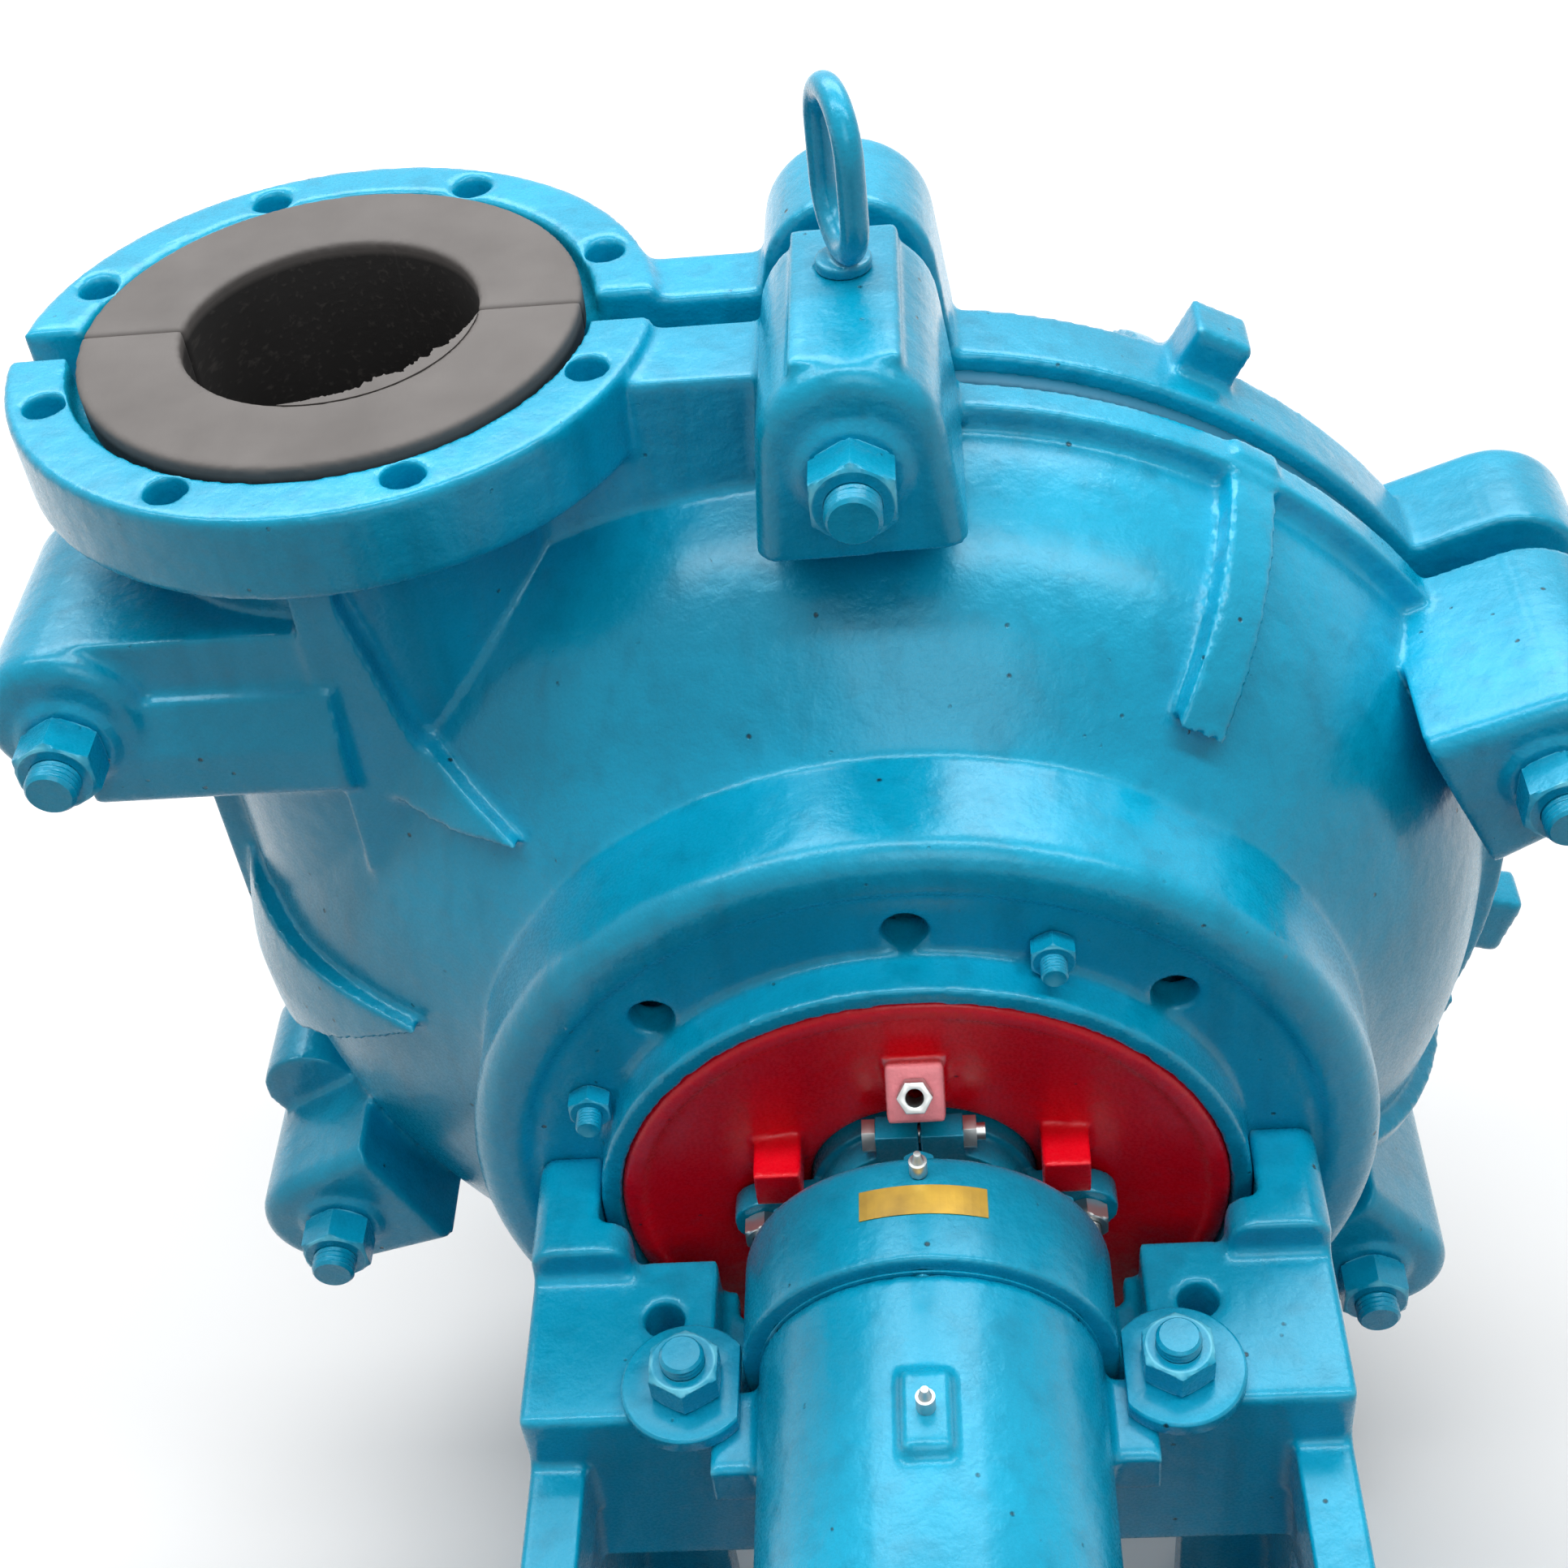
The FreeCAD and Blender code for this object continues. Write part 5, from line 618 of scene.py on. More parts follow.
def hexagon_tree():
    """A hexagon nut, chamfered at 30 degrees on both faces, or a head where the bore is nought."""
    tree, given = new_tree("hexagon", ("Flats", "Thick", "Bore"))
    corner = add_node(tree, "ShaderNodeMath", [(0, given["Flats"]), (1, 1 / math.sqrt(3))],
                      operation="MULTIPLY")
    wide = add_node(tree, "ShaderNodeMath", [(0, corner.outputs[0]), (1, given["Bore"])],
                    operation="SUBTRACT")
    middle = add_node(tree, "ShaderNodeMath", [(0, wide.outputs[0]), (1, 0.5), (2, given["Bore"])],
                      operation="MULTIPLY_ADD")
    section = add_node(tree, "GeometryNodeCurvePrimitiveQuadrilateral",
                       [("Width", wide.outputs[0]), ("Height", given["Thick"])])
    section = add_node(tree, "GeometryNodeResampleCurve",
                       [("Curve", section.outputs[0]), ("Count", SECTION_STEPS)])
    path = add_node(tree, "GeometryNodeCurvePrimitiveCircle",
                    [("Resolution", NUT_STEPS), ("Radius", middle.outputs[0])])
    body = add_node(tree, "GeometryNodeCurveToMesh",
                    [("Curve", path.outputs[0]), ("Profile Curve", section.outputs[0])])
    parts, distance, angle = polar_parts(tree)
    sector = add_node(tree, "ShaderNodeMath", [(0, angle), (1, math.pi / 3)],
                      operation="FLOORED_MODULO")
    sector = add_node(tree, "ShaderNodeMath", [(0, sector.outputs[0]), (1, math.pi / 6)],
                      operation="SUBTRACT")
    sector = add_node(tree, "ShaderNodeMath", [(0, sector.outputs[0])], operation="COSINE")
    half = add_node(tree, "ShaderNodeMath", [(0, given["Flats"]), (1, 0.5)], operation="MULTIPLY")
    flat = add_node(tree, "ShaderNodeMath", [(0, half.outputs[0]), (1, sector.outputs[0])],
                    operation="DIVIDE")
    # The chamfer's cone starts just inside the flats on each face
    high = add_node(tree, "ShaderNodeMath", [(0, parts[2])], operation="ABSOLUTE")
    deep = add_node(tree, "ShaderNodeMath", [(0, given["Thick"]), (1, 0.5), (2, high.outputs[0])],
                    operation="MULTIPLY_ADD")
    deep = add_node(tree, "ShaderNodeMath", [(0, given["Thick"]), (1, deep.outputs[0])],
                    operation="SUBTRACT")
    face = add_node(tree, "ShaderNodeMath", [(0, half.outputs[0]), (1, CHAMFER_START)],
                    operation="MULTIPLY")
    cone = add_node(tree, "ShaderNodeMath",
                    [(0, deep.outputs[0]), (1, math.sqrt(3)), (2, face.outputs[0])],
                    operation="MULTIPLY_ADD")
    limit = add_node(tree, "ShaderNodeMath", [(0, flat.outputs[0]), (1, cone.outputs[0])],
                     operation="MINIMUM")
    limit = add_node(tree, "ShaderNodeMath", [(0, limit.outputs[0]), (1, distance)],
                     operation="MINIMUM")
    nut = move_radially(tree, body.outputs[0], parts, distance, limit.outputs[0], parts[2])
    closed = add_node(tree, "GeometryNodeConvexHull", [("Geometry", nut)])
    bored = add_node(tree, "FunctionNodeCompare", [(0, given["Bore"]), (1, LEAST_BORE)],
                     operation="GREATER_THAN")
    shape = add_node(tree, "GeometryNodeSwitch",
                     [("Switch", bored.outputs[0]), ("False", closed.outputs[0]), ("True", nut)],
                     input_type="GEOMETRY")
    end_tree(tree, given, shape.outputs[0])
    return tree


# Sides of a rod, rings of points in one turn of thread, depth of the thread as a share of its
# pitch where half filled with paint, and the end's radius as a share of the rod's
ROD_SIDES = 32
RINGS_A_TURN = 8
THREAD_DEPTH = 0.6
END_SHARE = 0.84


def stud_tree():
    """A rod with a rolled thread and a chamfer on its far end."""
    tree, given = new_tree("stud", ("Radius", "Length", "Thread", "Pitch"))
    step = add_node(tree, "ShaderNodeMath", [(0, given["Pitch"]), (1, 1 / RINGS_A_TURN)],
                    operation="MULTIPLY")
    reach = add_node(tree, "ShaderNodeMath", [(0, given["Thread"]), (1, step.outputs[0])],
                     operation="ADD")
    count = add_node(tree, "ShaderNodeMath", [(0, reach.outputs[0]), (1, step.outputs[0])],
                     operation="DIVIDE")
    count = add_node(tree, "ShaderNodeMath", [(0, count.outputs[0]), (1, 1.0)], operation="ADD")
    tip = add_node(tree, "ShaderNodeCombineXYZ", [(2, reach.outputs[0])])
    line = add_node(tree, "GeometryNodeCurvePrimitiveLine",
                    [("Start", (0.0, 0.0, 0.0)), ("End", tip.outputs[0])])
    line = add_node(tree, "GeometryNodeResampleCurve",
                    [("Curve", line.outputs[0]), ("Count", count.outputs[0])])
    section = add_node(tree, "GeometryNodeCurvePrimitiveCircle",
                       [("Resolution", ROD_SIDES), ("Radius", given["Radius"])])
    body = add_node(tree, "GeometryNodeCurveToMesh",
                    [("Curve", line.outputs[0]), ("Profile Curve", section.outputs[0]),
                     ("Fill Caps", True)])
    parts, distance, angle = polar_parts(tree)
    # The first ring of points stays at the foot and all the others move up to the threaded end
    above = add_node(tree, "ShaderNodeMath", [(0, step.outputs[0]), (1, 0.5)],
                     operation="MULTIPLY")
    above = add_node(tree, "ShaderNodeMath", [(0, parts[2]), (1, above.outputs[0])],
                     operation="GREATER_THAN")
    lift = add_node(tree, "ShaderNodeMath", [(0, given["Length"]), (1, reach.outputs[0])],
                    operation="SUBTRACT")
    height = add_node(tree, "ShaderNodeMath",
                      [(0, lift.outputs[0]), (1, above.outputs[0]), (2, parts[2])],
                      operation="MULTIPLY_ADD").outputs[0]
    turns = add_node(tree, "ShaderNodeMath", [(0, height), (1, given["Pitch"])],
                     operation="DIVIDE")
    turns = add_node(tree, "ShaderNodeMath",
                     [(0, angle), (1, -1 / math.tau), (2, turns.outputs[0])],
                     operation="MULTIPLY_ADD")
    ridge = add_node(tree, "ShaderNodeMath", [(0, turns.outputs[0]), (1, 0.5)],
                     operation="PINGPONG")
    cut = add_node(tree, "ShaderNodeMath", [(0, ridge.outputs[0]), (1, given["Pitch"])],
                   operation="MULTIPLY")
    cut = add_node(tree, "ShaderNodeMath", [(0, cut.outputs[0]), (1, above.outputs[0])],
                   operation="MULTIPLY")
    thread = add_node(tree, "ShaderNodeMath",
                      [(0, cut.outputs[0]), (1, -THREAD_DEPTH), (2, given["Radius"])],
                      operation="MULTIPLY_ADD")
    left = add_node(tree, "ShaderNodeMath", [(0, given["Length"]), (1, height)],
                    operation="SUBTRACT")
    end = add_node(tree, "ShaderNodeMath",
                   [(0, given["Radius"]), (1, END_SHARE), (2, left.outputs[0])],
                   operation="MULTIPLY_ADD")
    limit = add_node(tree, "ShaderNodeMath", [(0, thread.outputs[0]), (1, end.outputs[0])],
                     operation="MINIMUM")
    limit = add_node(tree, "ShaderNodeMath", [(0, limit.outputs[0]), (1, distance)],
                     operation="MINIMUM")
    rod = move_radially(tree, body.outputs[0], parts, distance, limit.outputs[0], height)
    end_tree(tree, given, rod)
    return tree


HEXAGON = hexagon_tree()
STUD = stud_tree()


def loose_parts(node):
    """The corner points of each separate solid in a node."""
    mesh = merged_copy(node)
    seen = set()
    islands = []
    for first in mesh.verts:
        if first in seen:
            continue
        seen.add(first)
        found = [first]
        waiting = [first]
        while waiting:
            vert = waiting.pop()
            for edge in vert.link_edges:
                other = edge.other_vert(vert)
                if other not in seen:
                    seen.add(other)
                    found.append(other)
                    waiting.append(other)
        islands.append([vert.co.copy() for vert in found])
    mesh.free()
    return islands


# Seen along its axis, a point is on the hexagon outside the first share of the corner's distance,
# and on the rod or in the bore inside the second
HEAD_SHARE = 0.96
ROD_SHARE = 0.8


def measured(points, axis):
    """The hexagon and the rod of one loose part: centre line, spans, radii and turn of a corner."""
    side = Vector((0, 0, 1)) if abs(axis.z) < 0.5 else Vector((1, 0, 0))
    third = axis.cross(side)
    across = [point.dot(side) for point in points]
    beside = [point.dot(third) for point in points]
    centre = side * (min(across) + max(across)) / 2 + third * (min(beside) + max(beside)) / 2
    reach = [(point - centre - axis * point.dot(axis)).length for point in points]
    corner = max(reach)
    head = []
    rod = []
    # Every corner of the hexagon gives the same sine and cosine of six times its angle
    sines = 0.0
    cosines = 0.0
    for point, distance in zip(points, reach):
        if distance > HEAD_SHARE * corner:
            head.append(point.dot(axis))
            angle = math.atan2((point - centre).dot(third), (point - centre).dot(side))
            sines += math.sin(6 * angle)
            cosines += math.cos(6 * angle)
        elif distance < ROD_SHARE * corner:
            rod.append((point.dot(axis), distance))
    return {"centre": centre, "corner": corner, "head": (min(head), max(head)),
            "turn": math.atan2(sines, cosines) / 6, "side": side, "third": third,
            "rod": (min(r[0] for r in rod), max(r[0] for r in rod)) if rod else None,
            "bore": max(r[1] for r in rod) if rod else 0.0}


def grown_mesh(name, tree, places, sizes, finish):
    """Runs a geometry tree over points that each carry a turning, and gives back a plain mesh."""
    mesh = bpy.data.meshes.new(name)
    mesh.from_pydata([place for place, turning in places], [], [])
    turnings = mesh.attributes.new("turning", "FLOAT_VECTOR", "POINT")
    for index, (place, turning) in enumerate(places):
        turnings.data[index].vector = turning
    piece = in_scene(name, mesh)
    grow = piece.modifiers.new("grow", "NODES")
    grow.node_group = tree
    values = dict(sizes, Material=finish)
    for socket in tree.interface.items_tree:
        if socket.in_out == "INPUT" and socket.name in values:
            grow[socket.identifier] = values[socket.name]
    return evaluated_mesh(piece)


def frame_turning(side, third, axis, turn):
    """The Euler angles that lay x along a corner of the hexagon and z along the axis."""
    first = side * math.cos(turn) + third * math.sin(turn)
    return tuple(Matrix((first, axis.cross(first), axis)).transposed().to_euler())


def hexagons(parts, axis, finish, bored):
    """Nuts or heads of one node."""
    first = parts[0]
    places = []
    for part in parts:
        middle = part["centre"] + axis * (part["head"][0] + part["head"][1]) / 2
        places.append((middle, frame_turning(part["side"], part["third"], axis, part["turn"])))
    sizes = {"Flats": first["corner"] * math.sqrt(3), "Thick": first["head"][1] - first["head"][0],
             "Bore": first["bore"] if bored else 0.0}
    return grown_mesh("hexagons", HEXAGON, places, sizes, finish)


def rods(parts, axis, finish, radius, span, thread, pitch):
    """Studs or shanks of one node, with the thread at the end that the axis points to."""
    places = []
    for part in parts:
        places.append((part["centre"] + axis * span[0],
                       frame_turning(part["side"], part["third"], axis, 0.0)))
    sizes = {"Radius": radius, "Length": span[1] - span[0], "Thread": thread * MM,
             "Pitch": pitch * MM}
    return grown_mesh("rods", STUD, places, sizes, finish)


def one_mesh(meshes):
    """Several meshes in one."""
    whole = bmesh.new()
    for mesh in meshes:
        whole.from_mesh(mesh)
    return plain_mesh("joined", whole)


# Solid, direction of the outer end, thread length shown and pitch in millimetres
NUTS = [("casing_nuts", (0, -1, 0)), ("clamp_nuts", (0, 0, 1)), ("base_nuts", (0, -1, 0)),
        ("liner_nuts", (0, -1, 0)), ("gland_nuts", (0, -1, 0)), ("adjusting_nuts", (0, -1, 0))]
STUDS = [("clamp_studs", (0, 0, 1), 22.0, 2.5), ("base_studs", (0, -1, 0), 20.0, 2.5),
         ("liner_studs", (0, -1, 0), 16.0, 1.75), ("gland_studs", (0, -1, 0), 34.0, 1.75),
         ("adjusting_screw", (0, -1, 0), 64.0, 2.5)]
BOLTS = [("casing_bolts", (0, -1, 0), 26.0, 3.0)]
# The screws of the end covers: pitch in millimetres, and how many turns of thread show
SCREW_PITCH = 1.25
SCREW_TURNS = 4

for node, direction in NUTS:
    axis = Vector(direction)
    parts = [measured(points, axis) for points in loose_parts(node)]
    finish_piece(node + "_turned", hexagons(parts, axis, SLOT_FINISH[SLOT_OF[node]], True), node)

for node, direction, thread, pitch in STUDS:
    axis = Vector(direction)
    parts = [measured(points, axis) for points in loose_parts(node)]
    first = parts[0]
    finish_piece(node + "_rolled",
                 rods(parts, axis, SLOT_FINISH[SLOT_OF[node]], first["corner"], first["head"],
                      thread, pitch), node)

for node, direction, thread, pitch in BOLTS:
    axis = Vector(direction)
    finish = SLOT_FINISH[SLOT_OF[node]]
    parts = [measured(points, axis) for points in loose_parts(node)]
    first = parts[0]
    heads = hexagons(parts, axis, finish, False)
    shank = (first["head"][1], first["rod"][1])
    finish_piece(node + "_rolled",
                 one_mesh([heads, rods(parts, axis, finish, first["bore"], shank, thread, pitch)]),
                 node)

# The screws' heads point away from the middle of the bearing housing on both end covers
screws = []
for side in (1, -1):
    axis = Vector((0, side, 0))
    finish = SLOT_FINISH[SLOT_OF["end_cover_screws"]]
    parts = [measured(points, axis) for points in loose_parts("end_cover_screws")
             if points[0].y * side > 0]
    first = parts[0]
    screws.append(hexagons(parts, axis, finish, False))
    inner = (-first["head"][0], -first["rod"][0])
    screws.append(rods(parts, -axis, finish, first["bore"], inner, SCREW_PITCH * SCREW_TURNS,
                       SCREW_PITCH))
finish_piece("end_cover_screws_turned", one_mesh(screws), "end_cover_screws")


# Two bevelled faces that meet at more than this show a line between them
BEVEL_LINE = math.radians(40)


def machined(name, node, edge, finish=None):
    """A turned or milled piece: its own surface with every sharp edge broken by a small round."""
    piece = in_scene(name, plain_mesh(name, merged_copy(node)))
    broken = piece.modifiers.new("broken", "BEVEL")
    broken.width = edge * MM
    broken.segments = 2
    broken.limit_method = "ANGLE"
    broken.angle_limit = CREASE
    broken.use_clamp_overlap = True
    mesh = evaluated_mesh(piece)
    mesh.shade_smooth()
    mesh.set_sharp_from_angle(angle=BEVEL_LINE)
    return finish_piece(name, mesh, node, finish)


# Name, solid, size of the broken edge in millimetres, and a finish other than the slot's own:
# the gaskets are painted over with the housing
MACHINED = [("clamp_washers_turned", "clamp_washers", 1.2, None),
            ("gland_clamp_bolts_turned", "gland_clamp_bolts", 0.5, None),
            ("seal_water_fitting_turned", "seal_water_fitting", 0.5, None),
            ("grease_nipples_turned", "grease_nipples", 0.3, None),
            ("shaft_ground", "shaft", 0.8, None),
            ("shaft_sleeve_ground", "shaft_sleeve", 0.4, None),
            ("front_labyrinth_turned", "front_labyrinth", 0.6, None),
            ("rear_labyrinth_turned", "rear_labyrinth", 0.6, None),
            ("cover_gaskets_cut", "cover_gaskets", 0.1, TURQUOISE),
            ("intake_joint_moulded", "intake_joint", 2.0, None)]
for row in MACHINED:
    machined(*row)


# The foil strip, in millimetres on the pump: the seat's radius, its ends across, its middle along
# the shaft, its width and thickness, and its steps across
STRIP_SEAT = 83.6
STRIP_LEFT = -26.0
STRIP_RIGHT = 29.0
STRIP_Y = -293.5
STRIP_WIDTH = 15.0
STRIP_THICK = 0.4
STRIP_STEPS = 16


def blank_strip():
    """The plain strip of brass foil that lies bent over the front end cover."""
    shell = bmesh.new()
    verts = []
    for lift in (0.0, STRIP_THICK):
        for step in range(STRIP_STEPS + 1):
            across = STRIP_LEFT + (STRIP_RIGHT - STRIP_LEFT) * step / STRIP_STEPS
            angle = math.asin(across / STRIP_SEAT)
            outwards = Vector((math.sin(angle), 0.0, math.cos(angle)))
            for y in (STRIP_Y - STRIP_WIDTH / 2, STRIP_Y + STRIP_WIDTH / 2):
                place = on_pump(0, y, 0) + outwards * (STRIP_SEAT + lift) * MM
                verts.append(shell.verts.new(place))
    top = len(verts) // 2
    for near in range(0, 2 * STRIP_STEPS, 2):
        for base in (0, top):
            shell.faces.new([verts[base + near + k] for k in (0, 1, 3, 2)])
        for k in (near, near + 1):
            shell.faces.new([verts[k], verts[k + 2], verts[top + k + 2], verts[top + k]])
    for end in (0, 2 * STRIP_STEPS):
        shell.faces.new([verts[end], verts[end + 1], verts[top + end + 1], verts[top + end]])
    bmesh.ops.recalc_face_normals(shell, faces=shell.faces)
    mesh = plain_mesh("blank_strip", shell)
    mesh.materials.append(FOIL)
    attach(in_scene("blank_strip", mesh), BODY_OF["front_end_cover"])


blank_strip()

# The torn skin in the discharge bore, in millimetres on the pump: the middle of the bore at the
# rubber's open face, the bore's radius, the skin's widest reach and its thickness, the two ends
# of the tear in degrees round the bore, and its steps along and across
TEAR_CENTRE = (-242.7, 0.0, 356.2)
TEAR_BORE = 68.0
TEAR_WIDEST = 12.0
TEAR_THICK = 0.8
TEAR_ENDS = (-100, -3)
TEAR_STEPS = 160
TEAR_ROWS = 6


def tear_tree():
    """A thin torn skin of rubber along part of a round edge, its free edge ragged."""
    tree, given = new_tree("tear", ("Bore", "From", "To", "Widest", "Thick"))
    sheet = add_node(tree, "GeometryNodeMeshGrid",
                     [("Size X", 1.0), ("Size Y", 1.0), ("Vertices X", TEAR_STEPS),
                      ("Vertices Y", TEAR_ROWS)])
    place = add_node(tree, "GeometryNodeInputPosition")
    parts = add_node(tree, "ShaderNodeSeparateXYZ", [("Vector", place.outputs[0])]).outputs
    along = add_node(tree, "ShaderNodeMath", [(0, parts[0]), (1, 0.5)], operation="ADD").outputs[0]
    inward = add_node(tree, "ShaderNodeMath", [(0, parts[1]), (1, 0.5)], operation="ADD").outputs[0]
    angle = add_node(tree, "ShaderNodeMapRange",
                     [("Value", along), ("To Min", given["From"]), ("To Max", given["To"])])
    # Widest in the middle of the tear, nothing at its ends, and ragged all along
    ragged = add_node(tree, "ShaderNodeTexNoise",
                      [("W", along), ("Scale", 11.0), ("Detail", 6.0), ("Roughness", 0.65)],
                      noise_dimensions="1D")
    bow = add_node(tree, "ShaderNodeMath", [(0, along), (1, math.pi)], operation="MULTIPLY")
    bow = add_node(tree, "ShaderNodeMath", [(0, bow.outputs[0])], operation="SINE")
    width = add_node(tree, "ShaderNodeMath", [(0, ragged.outputs[0]), (1, given["Widest"])],
                     operation="MULTIPLY")
    width = add_node(tree, "ShaderNodeMath", [(0, width.outputs[0]), (1, bow.outputs[0])],
                     operation="MULTIPLY")
    reach = add_node(tree, "ShaderNodeMath", [(0, width.outputs[0]), (1, inward)],
                     operation="MULTIPLY")
    radius = add_node(tree, "ShaderNodeMath", [(0, given["Bore"]), (1, reach.outputs[0])],
                      operation="SUBTRACT")
    across = add_node(tree, "ShaderNodeMath", [(0, angle.outputs[0])], operation="COSINE")
    across = add_node(tree, "ShaderNodeMath", [(0, across.outputs[0]), (1, radius.outputs[0])],
                      operation="MULTIPLY")
    beside = add_node(tree, "ShaderNodeMath", [(0, angle.outputs[0])], operation="SINE")
    beside = add_node(tree, "ShaderNodeMath", [(0, beside.outputs[0]), (1, radius.outputs[0])],
                      operation="MULTIPLY")
    # It leans up or down by a share of its reach, which wanders along the tear
    lean = add_node(tree, "ShaderNodeTexNoise",
                    [("W", along), ("Scale", 4.0), ("Detail", 2.0)], noise_dimensions="1D")
    lift = add_node(tree, "ShaderNodeMath", [(0, lean.outputs[0]), (1, 0.3)], operation="SUBTRACT")
    lift = add_node(tree, "ShaderNodeMath", [(0, lift.outputs[0]), (1, reach.outputs[0])],
                    operation="MULTIPLY")
    moved = add_node(tree, "ShaderNodeCombineXYZ",
                     [(0, across.outputs[0]), (1, beside.outputs[0]), (2, lift.outputs[0])])
    skin = add_node(tree, "GeometryNodeSetPosition",
                    [("Geometry", sheet.outputs[0]), ("Position", moved.outputs[0])])
    upper = add_node(tree, "GeometryNodeExtrudeMesh",
                     [("Mesh", skin.outputs[0]), ("Offset Scale", given["Thick"]),
                      ("Individual", False)])
    lower = add_node(tree, "GeometryNodeFlipFaces", [("Mesh", skin.outputs[0])])
    both = add_node(tree, "GeometryNodeJoinGeometry")
    tree.links.new(upper.outputs[0], both.inputs[0])
    tree.links.new(lower.outputs[0], both.inputs[0])
    whole = add_node(tree, "GeometryNodeMergeByDistance",
                     [("Geometry", both.outputs[0]), ("Distance", 0.02 * MM)])
    end_tree(tree, given, whole.outputs[0])
    return tree


def torn_flash():
    """The skin of rubber that hangs torn from the edge of the discharge bore."""
    sizes = {"Bore": TEAR_BORE * MM, "From": math.radians(TEAR_ENDS[0]),
             "To": math.radians(TEAR_ENDS[1]), "Widest": TEAR_WIDEST * MM,
             "Thick": TEAR_THICK * MM}
    places = [(on_pump(*TEAR_CENTRE), (0.0, 0.0, 0.0))]
    flash = in_scene("torn_flash", grown_mesh("torn_flash", tear_tree(), places, sizes, LINER))
    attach(flash, BODY_OF["frame_plate_liner"])


torn_flash()


def photographed_from():
    """The camera, at the place and angle of the photograph."""
    yaw = Matrix.Rotation(CAMERA_YAW, 3, "Z")
    pitch = Matrix.Rotation(CAMERA_PITCH, 3, "X")
    roll = Matrix.Rotation(CAMERA_ROLL, 3, "Y")
    axes = yaw @ pitch @ roll
    turn = Matrix((axes.col[0], axes.col[2], -axes.col[1])).transposed().to_4x4()
    lens = bpy.data.cameras.new("camera")
    lens.lens = CAMERA_LENS
    lens.sensor_width = CAMERA_SENSOR
    lens.clip_start = 0.05
    lens.clip_end = 30.0
    camera = in_scene("camera", lens)
    camera.matrix_world = Matrix.Translation(CAMERA_PLACE) @ turn
    bpy.context.scene.camera = camera


def shown_directly(tree):
    """One where the eye, a mirror image or a look through glass meets a surface, else nought."""
    ray = add_node(tree, "ShaderNodeLightPath").outputs
    shown = add_node(tree, "ShaderNodeMath",
                     [(0, ray["Is Camera Ray"]), (1, ray["Is Glossy Ray"])], operation="MAXIMUM")
    return add_node(tree, "ShaderNodeMath",
                    [(0, shown.outputs[0]), (1, ray["Is Transmission Ray"])],
                    operation="MAXIMUM").outputs[0]


# Floor: half its width and the gap under the pump's feet, in metres, its colour to the eye and to
# the light that it throws back up, and where it fades into the backdrop, again in metres
FLOOR_REACH = 6.0
FLOOR_GAP = 0.001
FLOOR_SEEN = "#F4F4F4"
FLOOR_BOUNCE = "#8C8C8C"
FADE_FROM = 1.0
FADE_TO = 3.5
FADE_LIGHT = 0.9


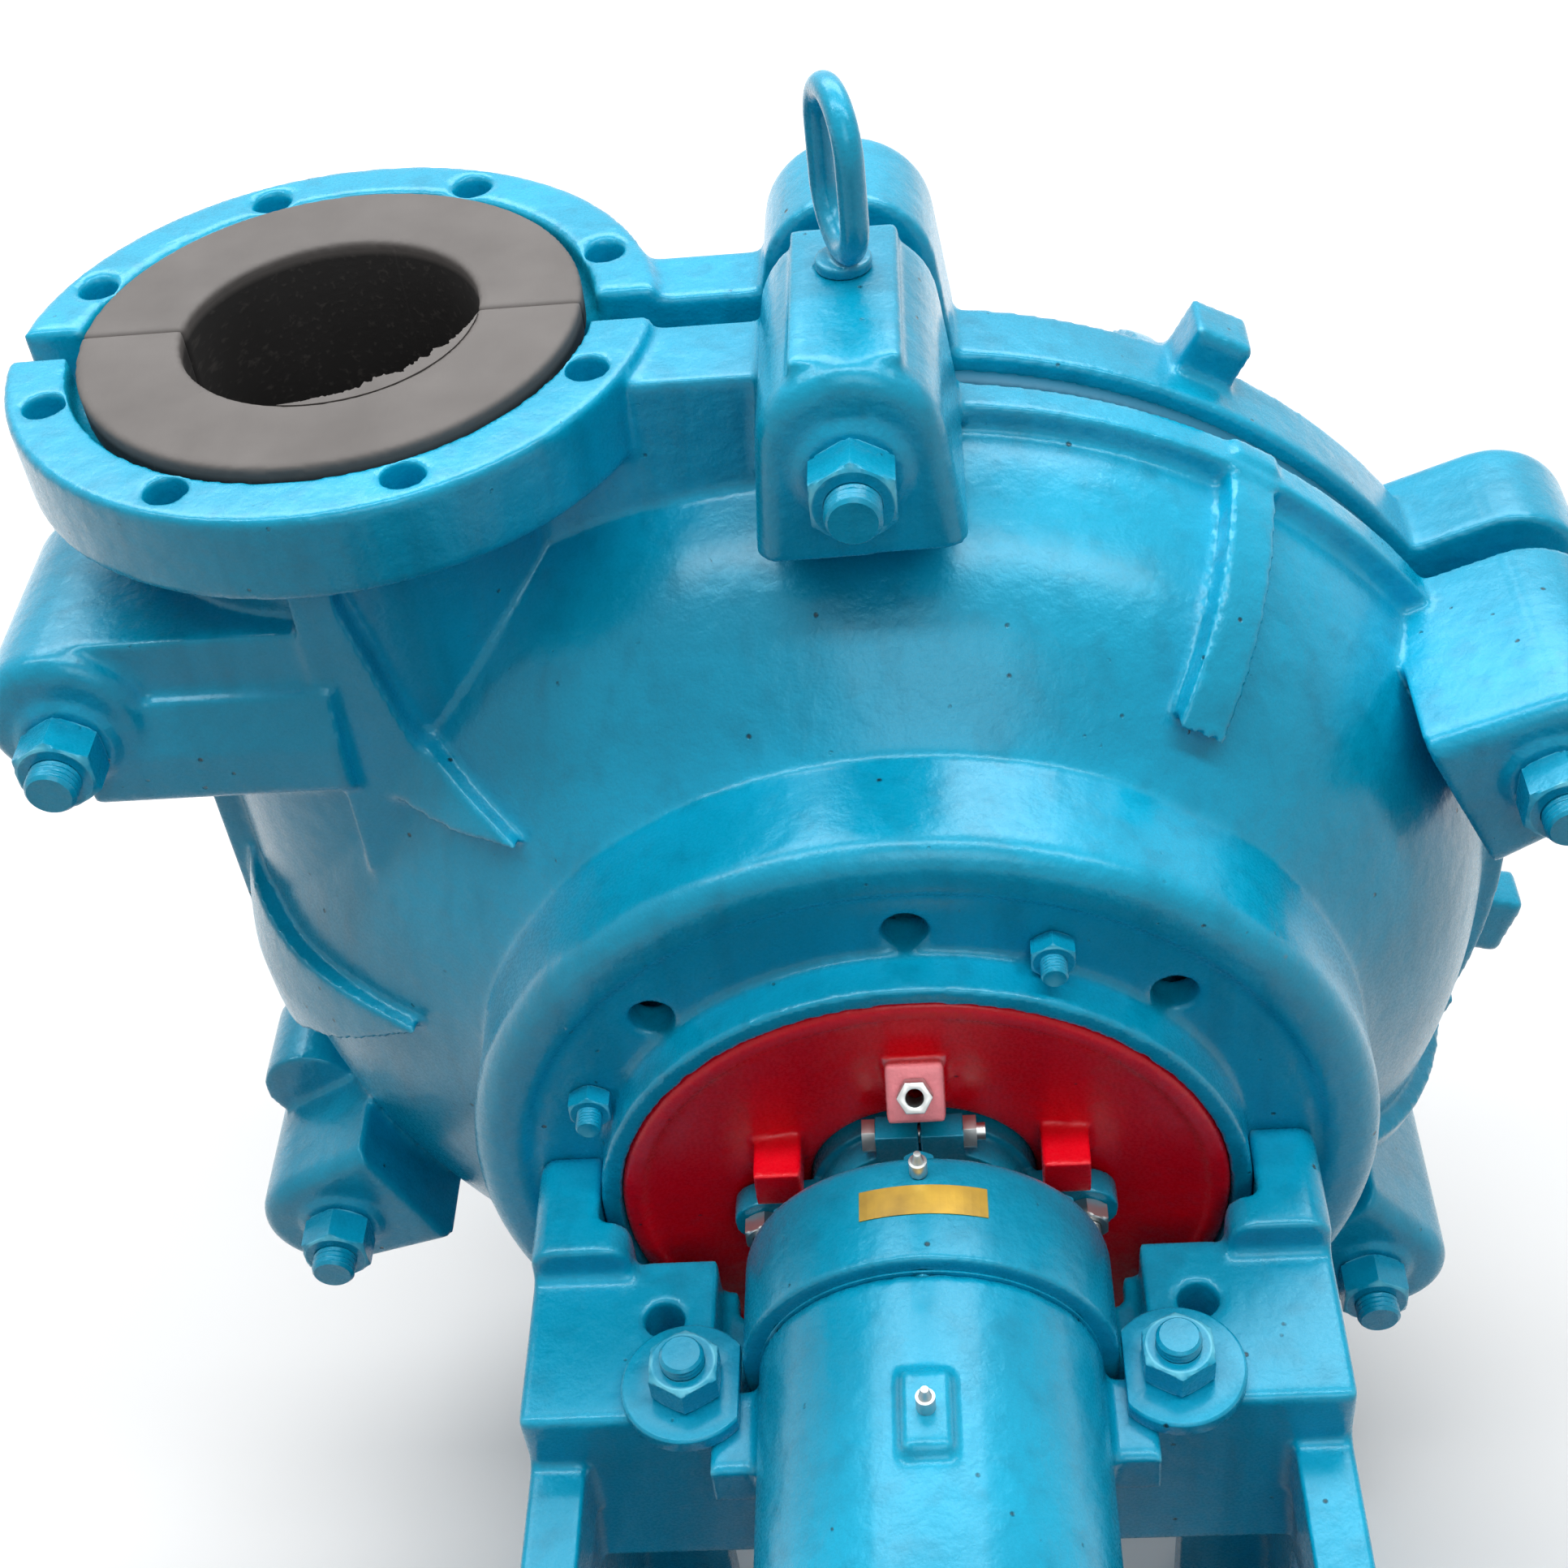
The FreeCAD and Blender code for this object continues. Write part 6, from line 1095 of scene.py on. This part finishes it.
def pale_floor():
    """A plain matt studio floor that turns into the pale backdrop where the lamps don't reach."""
    material, tree, shader, place = new_material("pale_studio_floor")
    shader.inputs["Roughness"].default_value = 0.9
    shown = shown_directly(tree)
    colour = add_node(tree, "ShaderNodeMix",
                      [("Factor", shown), (MIX_A, linear(FLOOR_BOUNCE)),
                       (MIX_B, linear(FLOOR_SEEN))], data_type="RGBA")
    tree.links.new(colour.outputs[MIX_OUT], shader.inputs["Base Color"])
    away = add_node(tree, "ShaderNodeVectorMath", [(0, place)], operation="LENGTH")
    fade = add_node(tree, "ShaderNodeMapRange",
                    [("Value", away.outputs["Value"]), ("From Min", FADE_FROM),
                     ("From Max", FADE_TO), ("To Min", 0.0), ("To Max", FADE_LIGHT)])
    fade = add_node(tree, "ShaderNodeMath", [(0, fade.outputs[0]), (1, shown)],
                    operation="MULTIPLY")
    shader.inputs["Emission Color"].default_value = (1.0, 1.0, 1.0, 1.0)
    tree.links.new(fade.outputs[0], shader.inputs["Emission Strength"])
    corners = [(FLOOR_REACH * x, FLOOR_REACH * y, 0) for x, y in ((-1, -1), (1, -1), (1, 1), (-1, 1))]
    mesh = bpy.data.meshes.new("floor")
    mesh.from_pydata(corners, [], [(0, 1, 2, 3)])
    mesh.materials.append(material)
    floor = in_scene("floor", mesh)
    floor.location.z = -FLOOR_GAP


def soft_lamp(name, place, target, size, power):
    """A large soft lamp that looks at a point."""
    data = bpy.data.lights.new(name, "AREA")
    data.shape = "RECTANGLE"
    data.size = size[0]
    data.size_y = size[1]
    data.energy = power
    lamp = in_scene(name, data)
    lamp.location = place
    lamp.rotation_mode = "QUATERNION"
    lamp.rotation_quaternion = (Vector(target) - Vector(place)).to_track_quat("-Z", "Y")


# Name, place, the point it looks at and size in metres, and power in watts
LAMPS = [("sky_behind", (-0.1, 2.2, 3.1), (0.0, 0.3, 0.4), (4.0, 1.4), 104),
         ("roof_strip", (0.0, 0.2, 2.9), (0.0, 0.2, 0.4), (4.6, 0.3), 56),
         ("front_light", (0.4, -2.0, 2.8), (0.0, 0.1, 0.4), (1.6, 1.6), 22)]
# How strong the white world is for the eye, and how strong it is for all other light
BACKDROP = 1.0
FILL_LIGHT = 0.12


def pale_backdrop():
    """A white world to the eye and in mirror images, and a weak fill light for all else."""
    world = bpy.data.worlds.new("studio")
    bpy.context.scene.world = world
    world.use_nodes = True
    tree = world.node_tree
    tree.nodes.clear()
    fill = add_node(tree, "ShaderNodeBackground",
                    [("Color", (1.0, 1.0, 1.0, 1.0)), ("Strength", FILL_LIGHT)])
    white = add_node(tree, "ShaderNodeBackground",
                     [("Color", (1.0, 1.0, 1.0, 1.0)), ("Strength", BACKDROP)])
    either = add_node(tree, "ShaderNodeMixShader",
                      [(0, shown_directly(tree)), (1, fill.outputs[0]), (2, white.outputs[0])])
    add_node(tree, "ShaderNodeOutputWorld", [("Surface", either.outputs[0])])


photographed_from()
pale_floor()
for row in LAMPS:
    soft_lamp(*row)
pale_backdrop()
bpy.context.scene.view_settings.view_transform = "Standard"
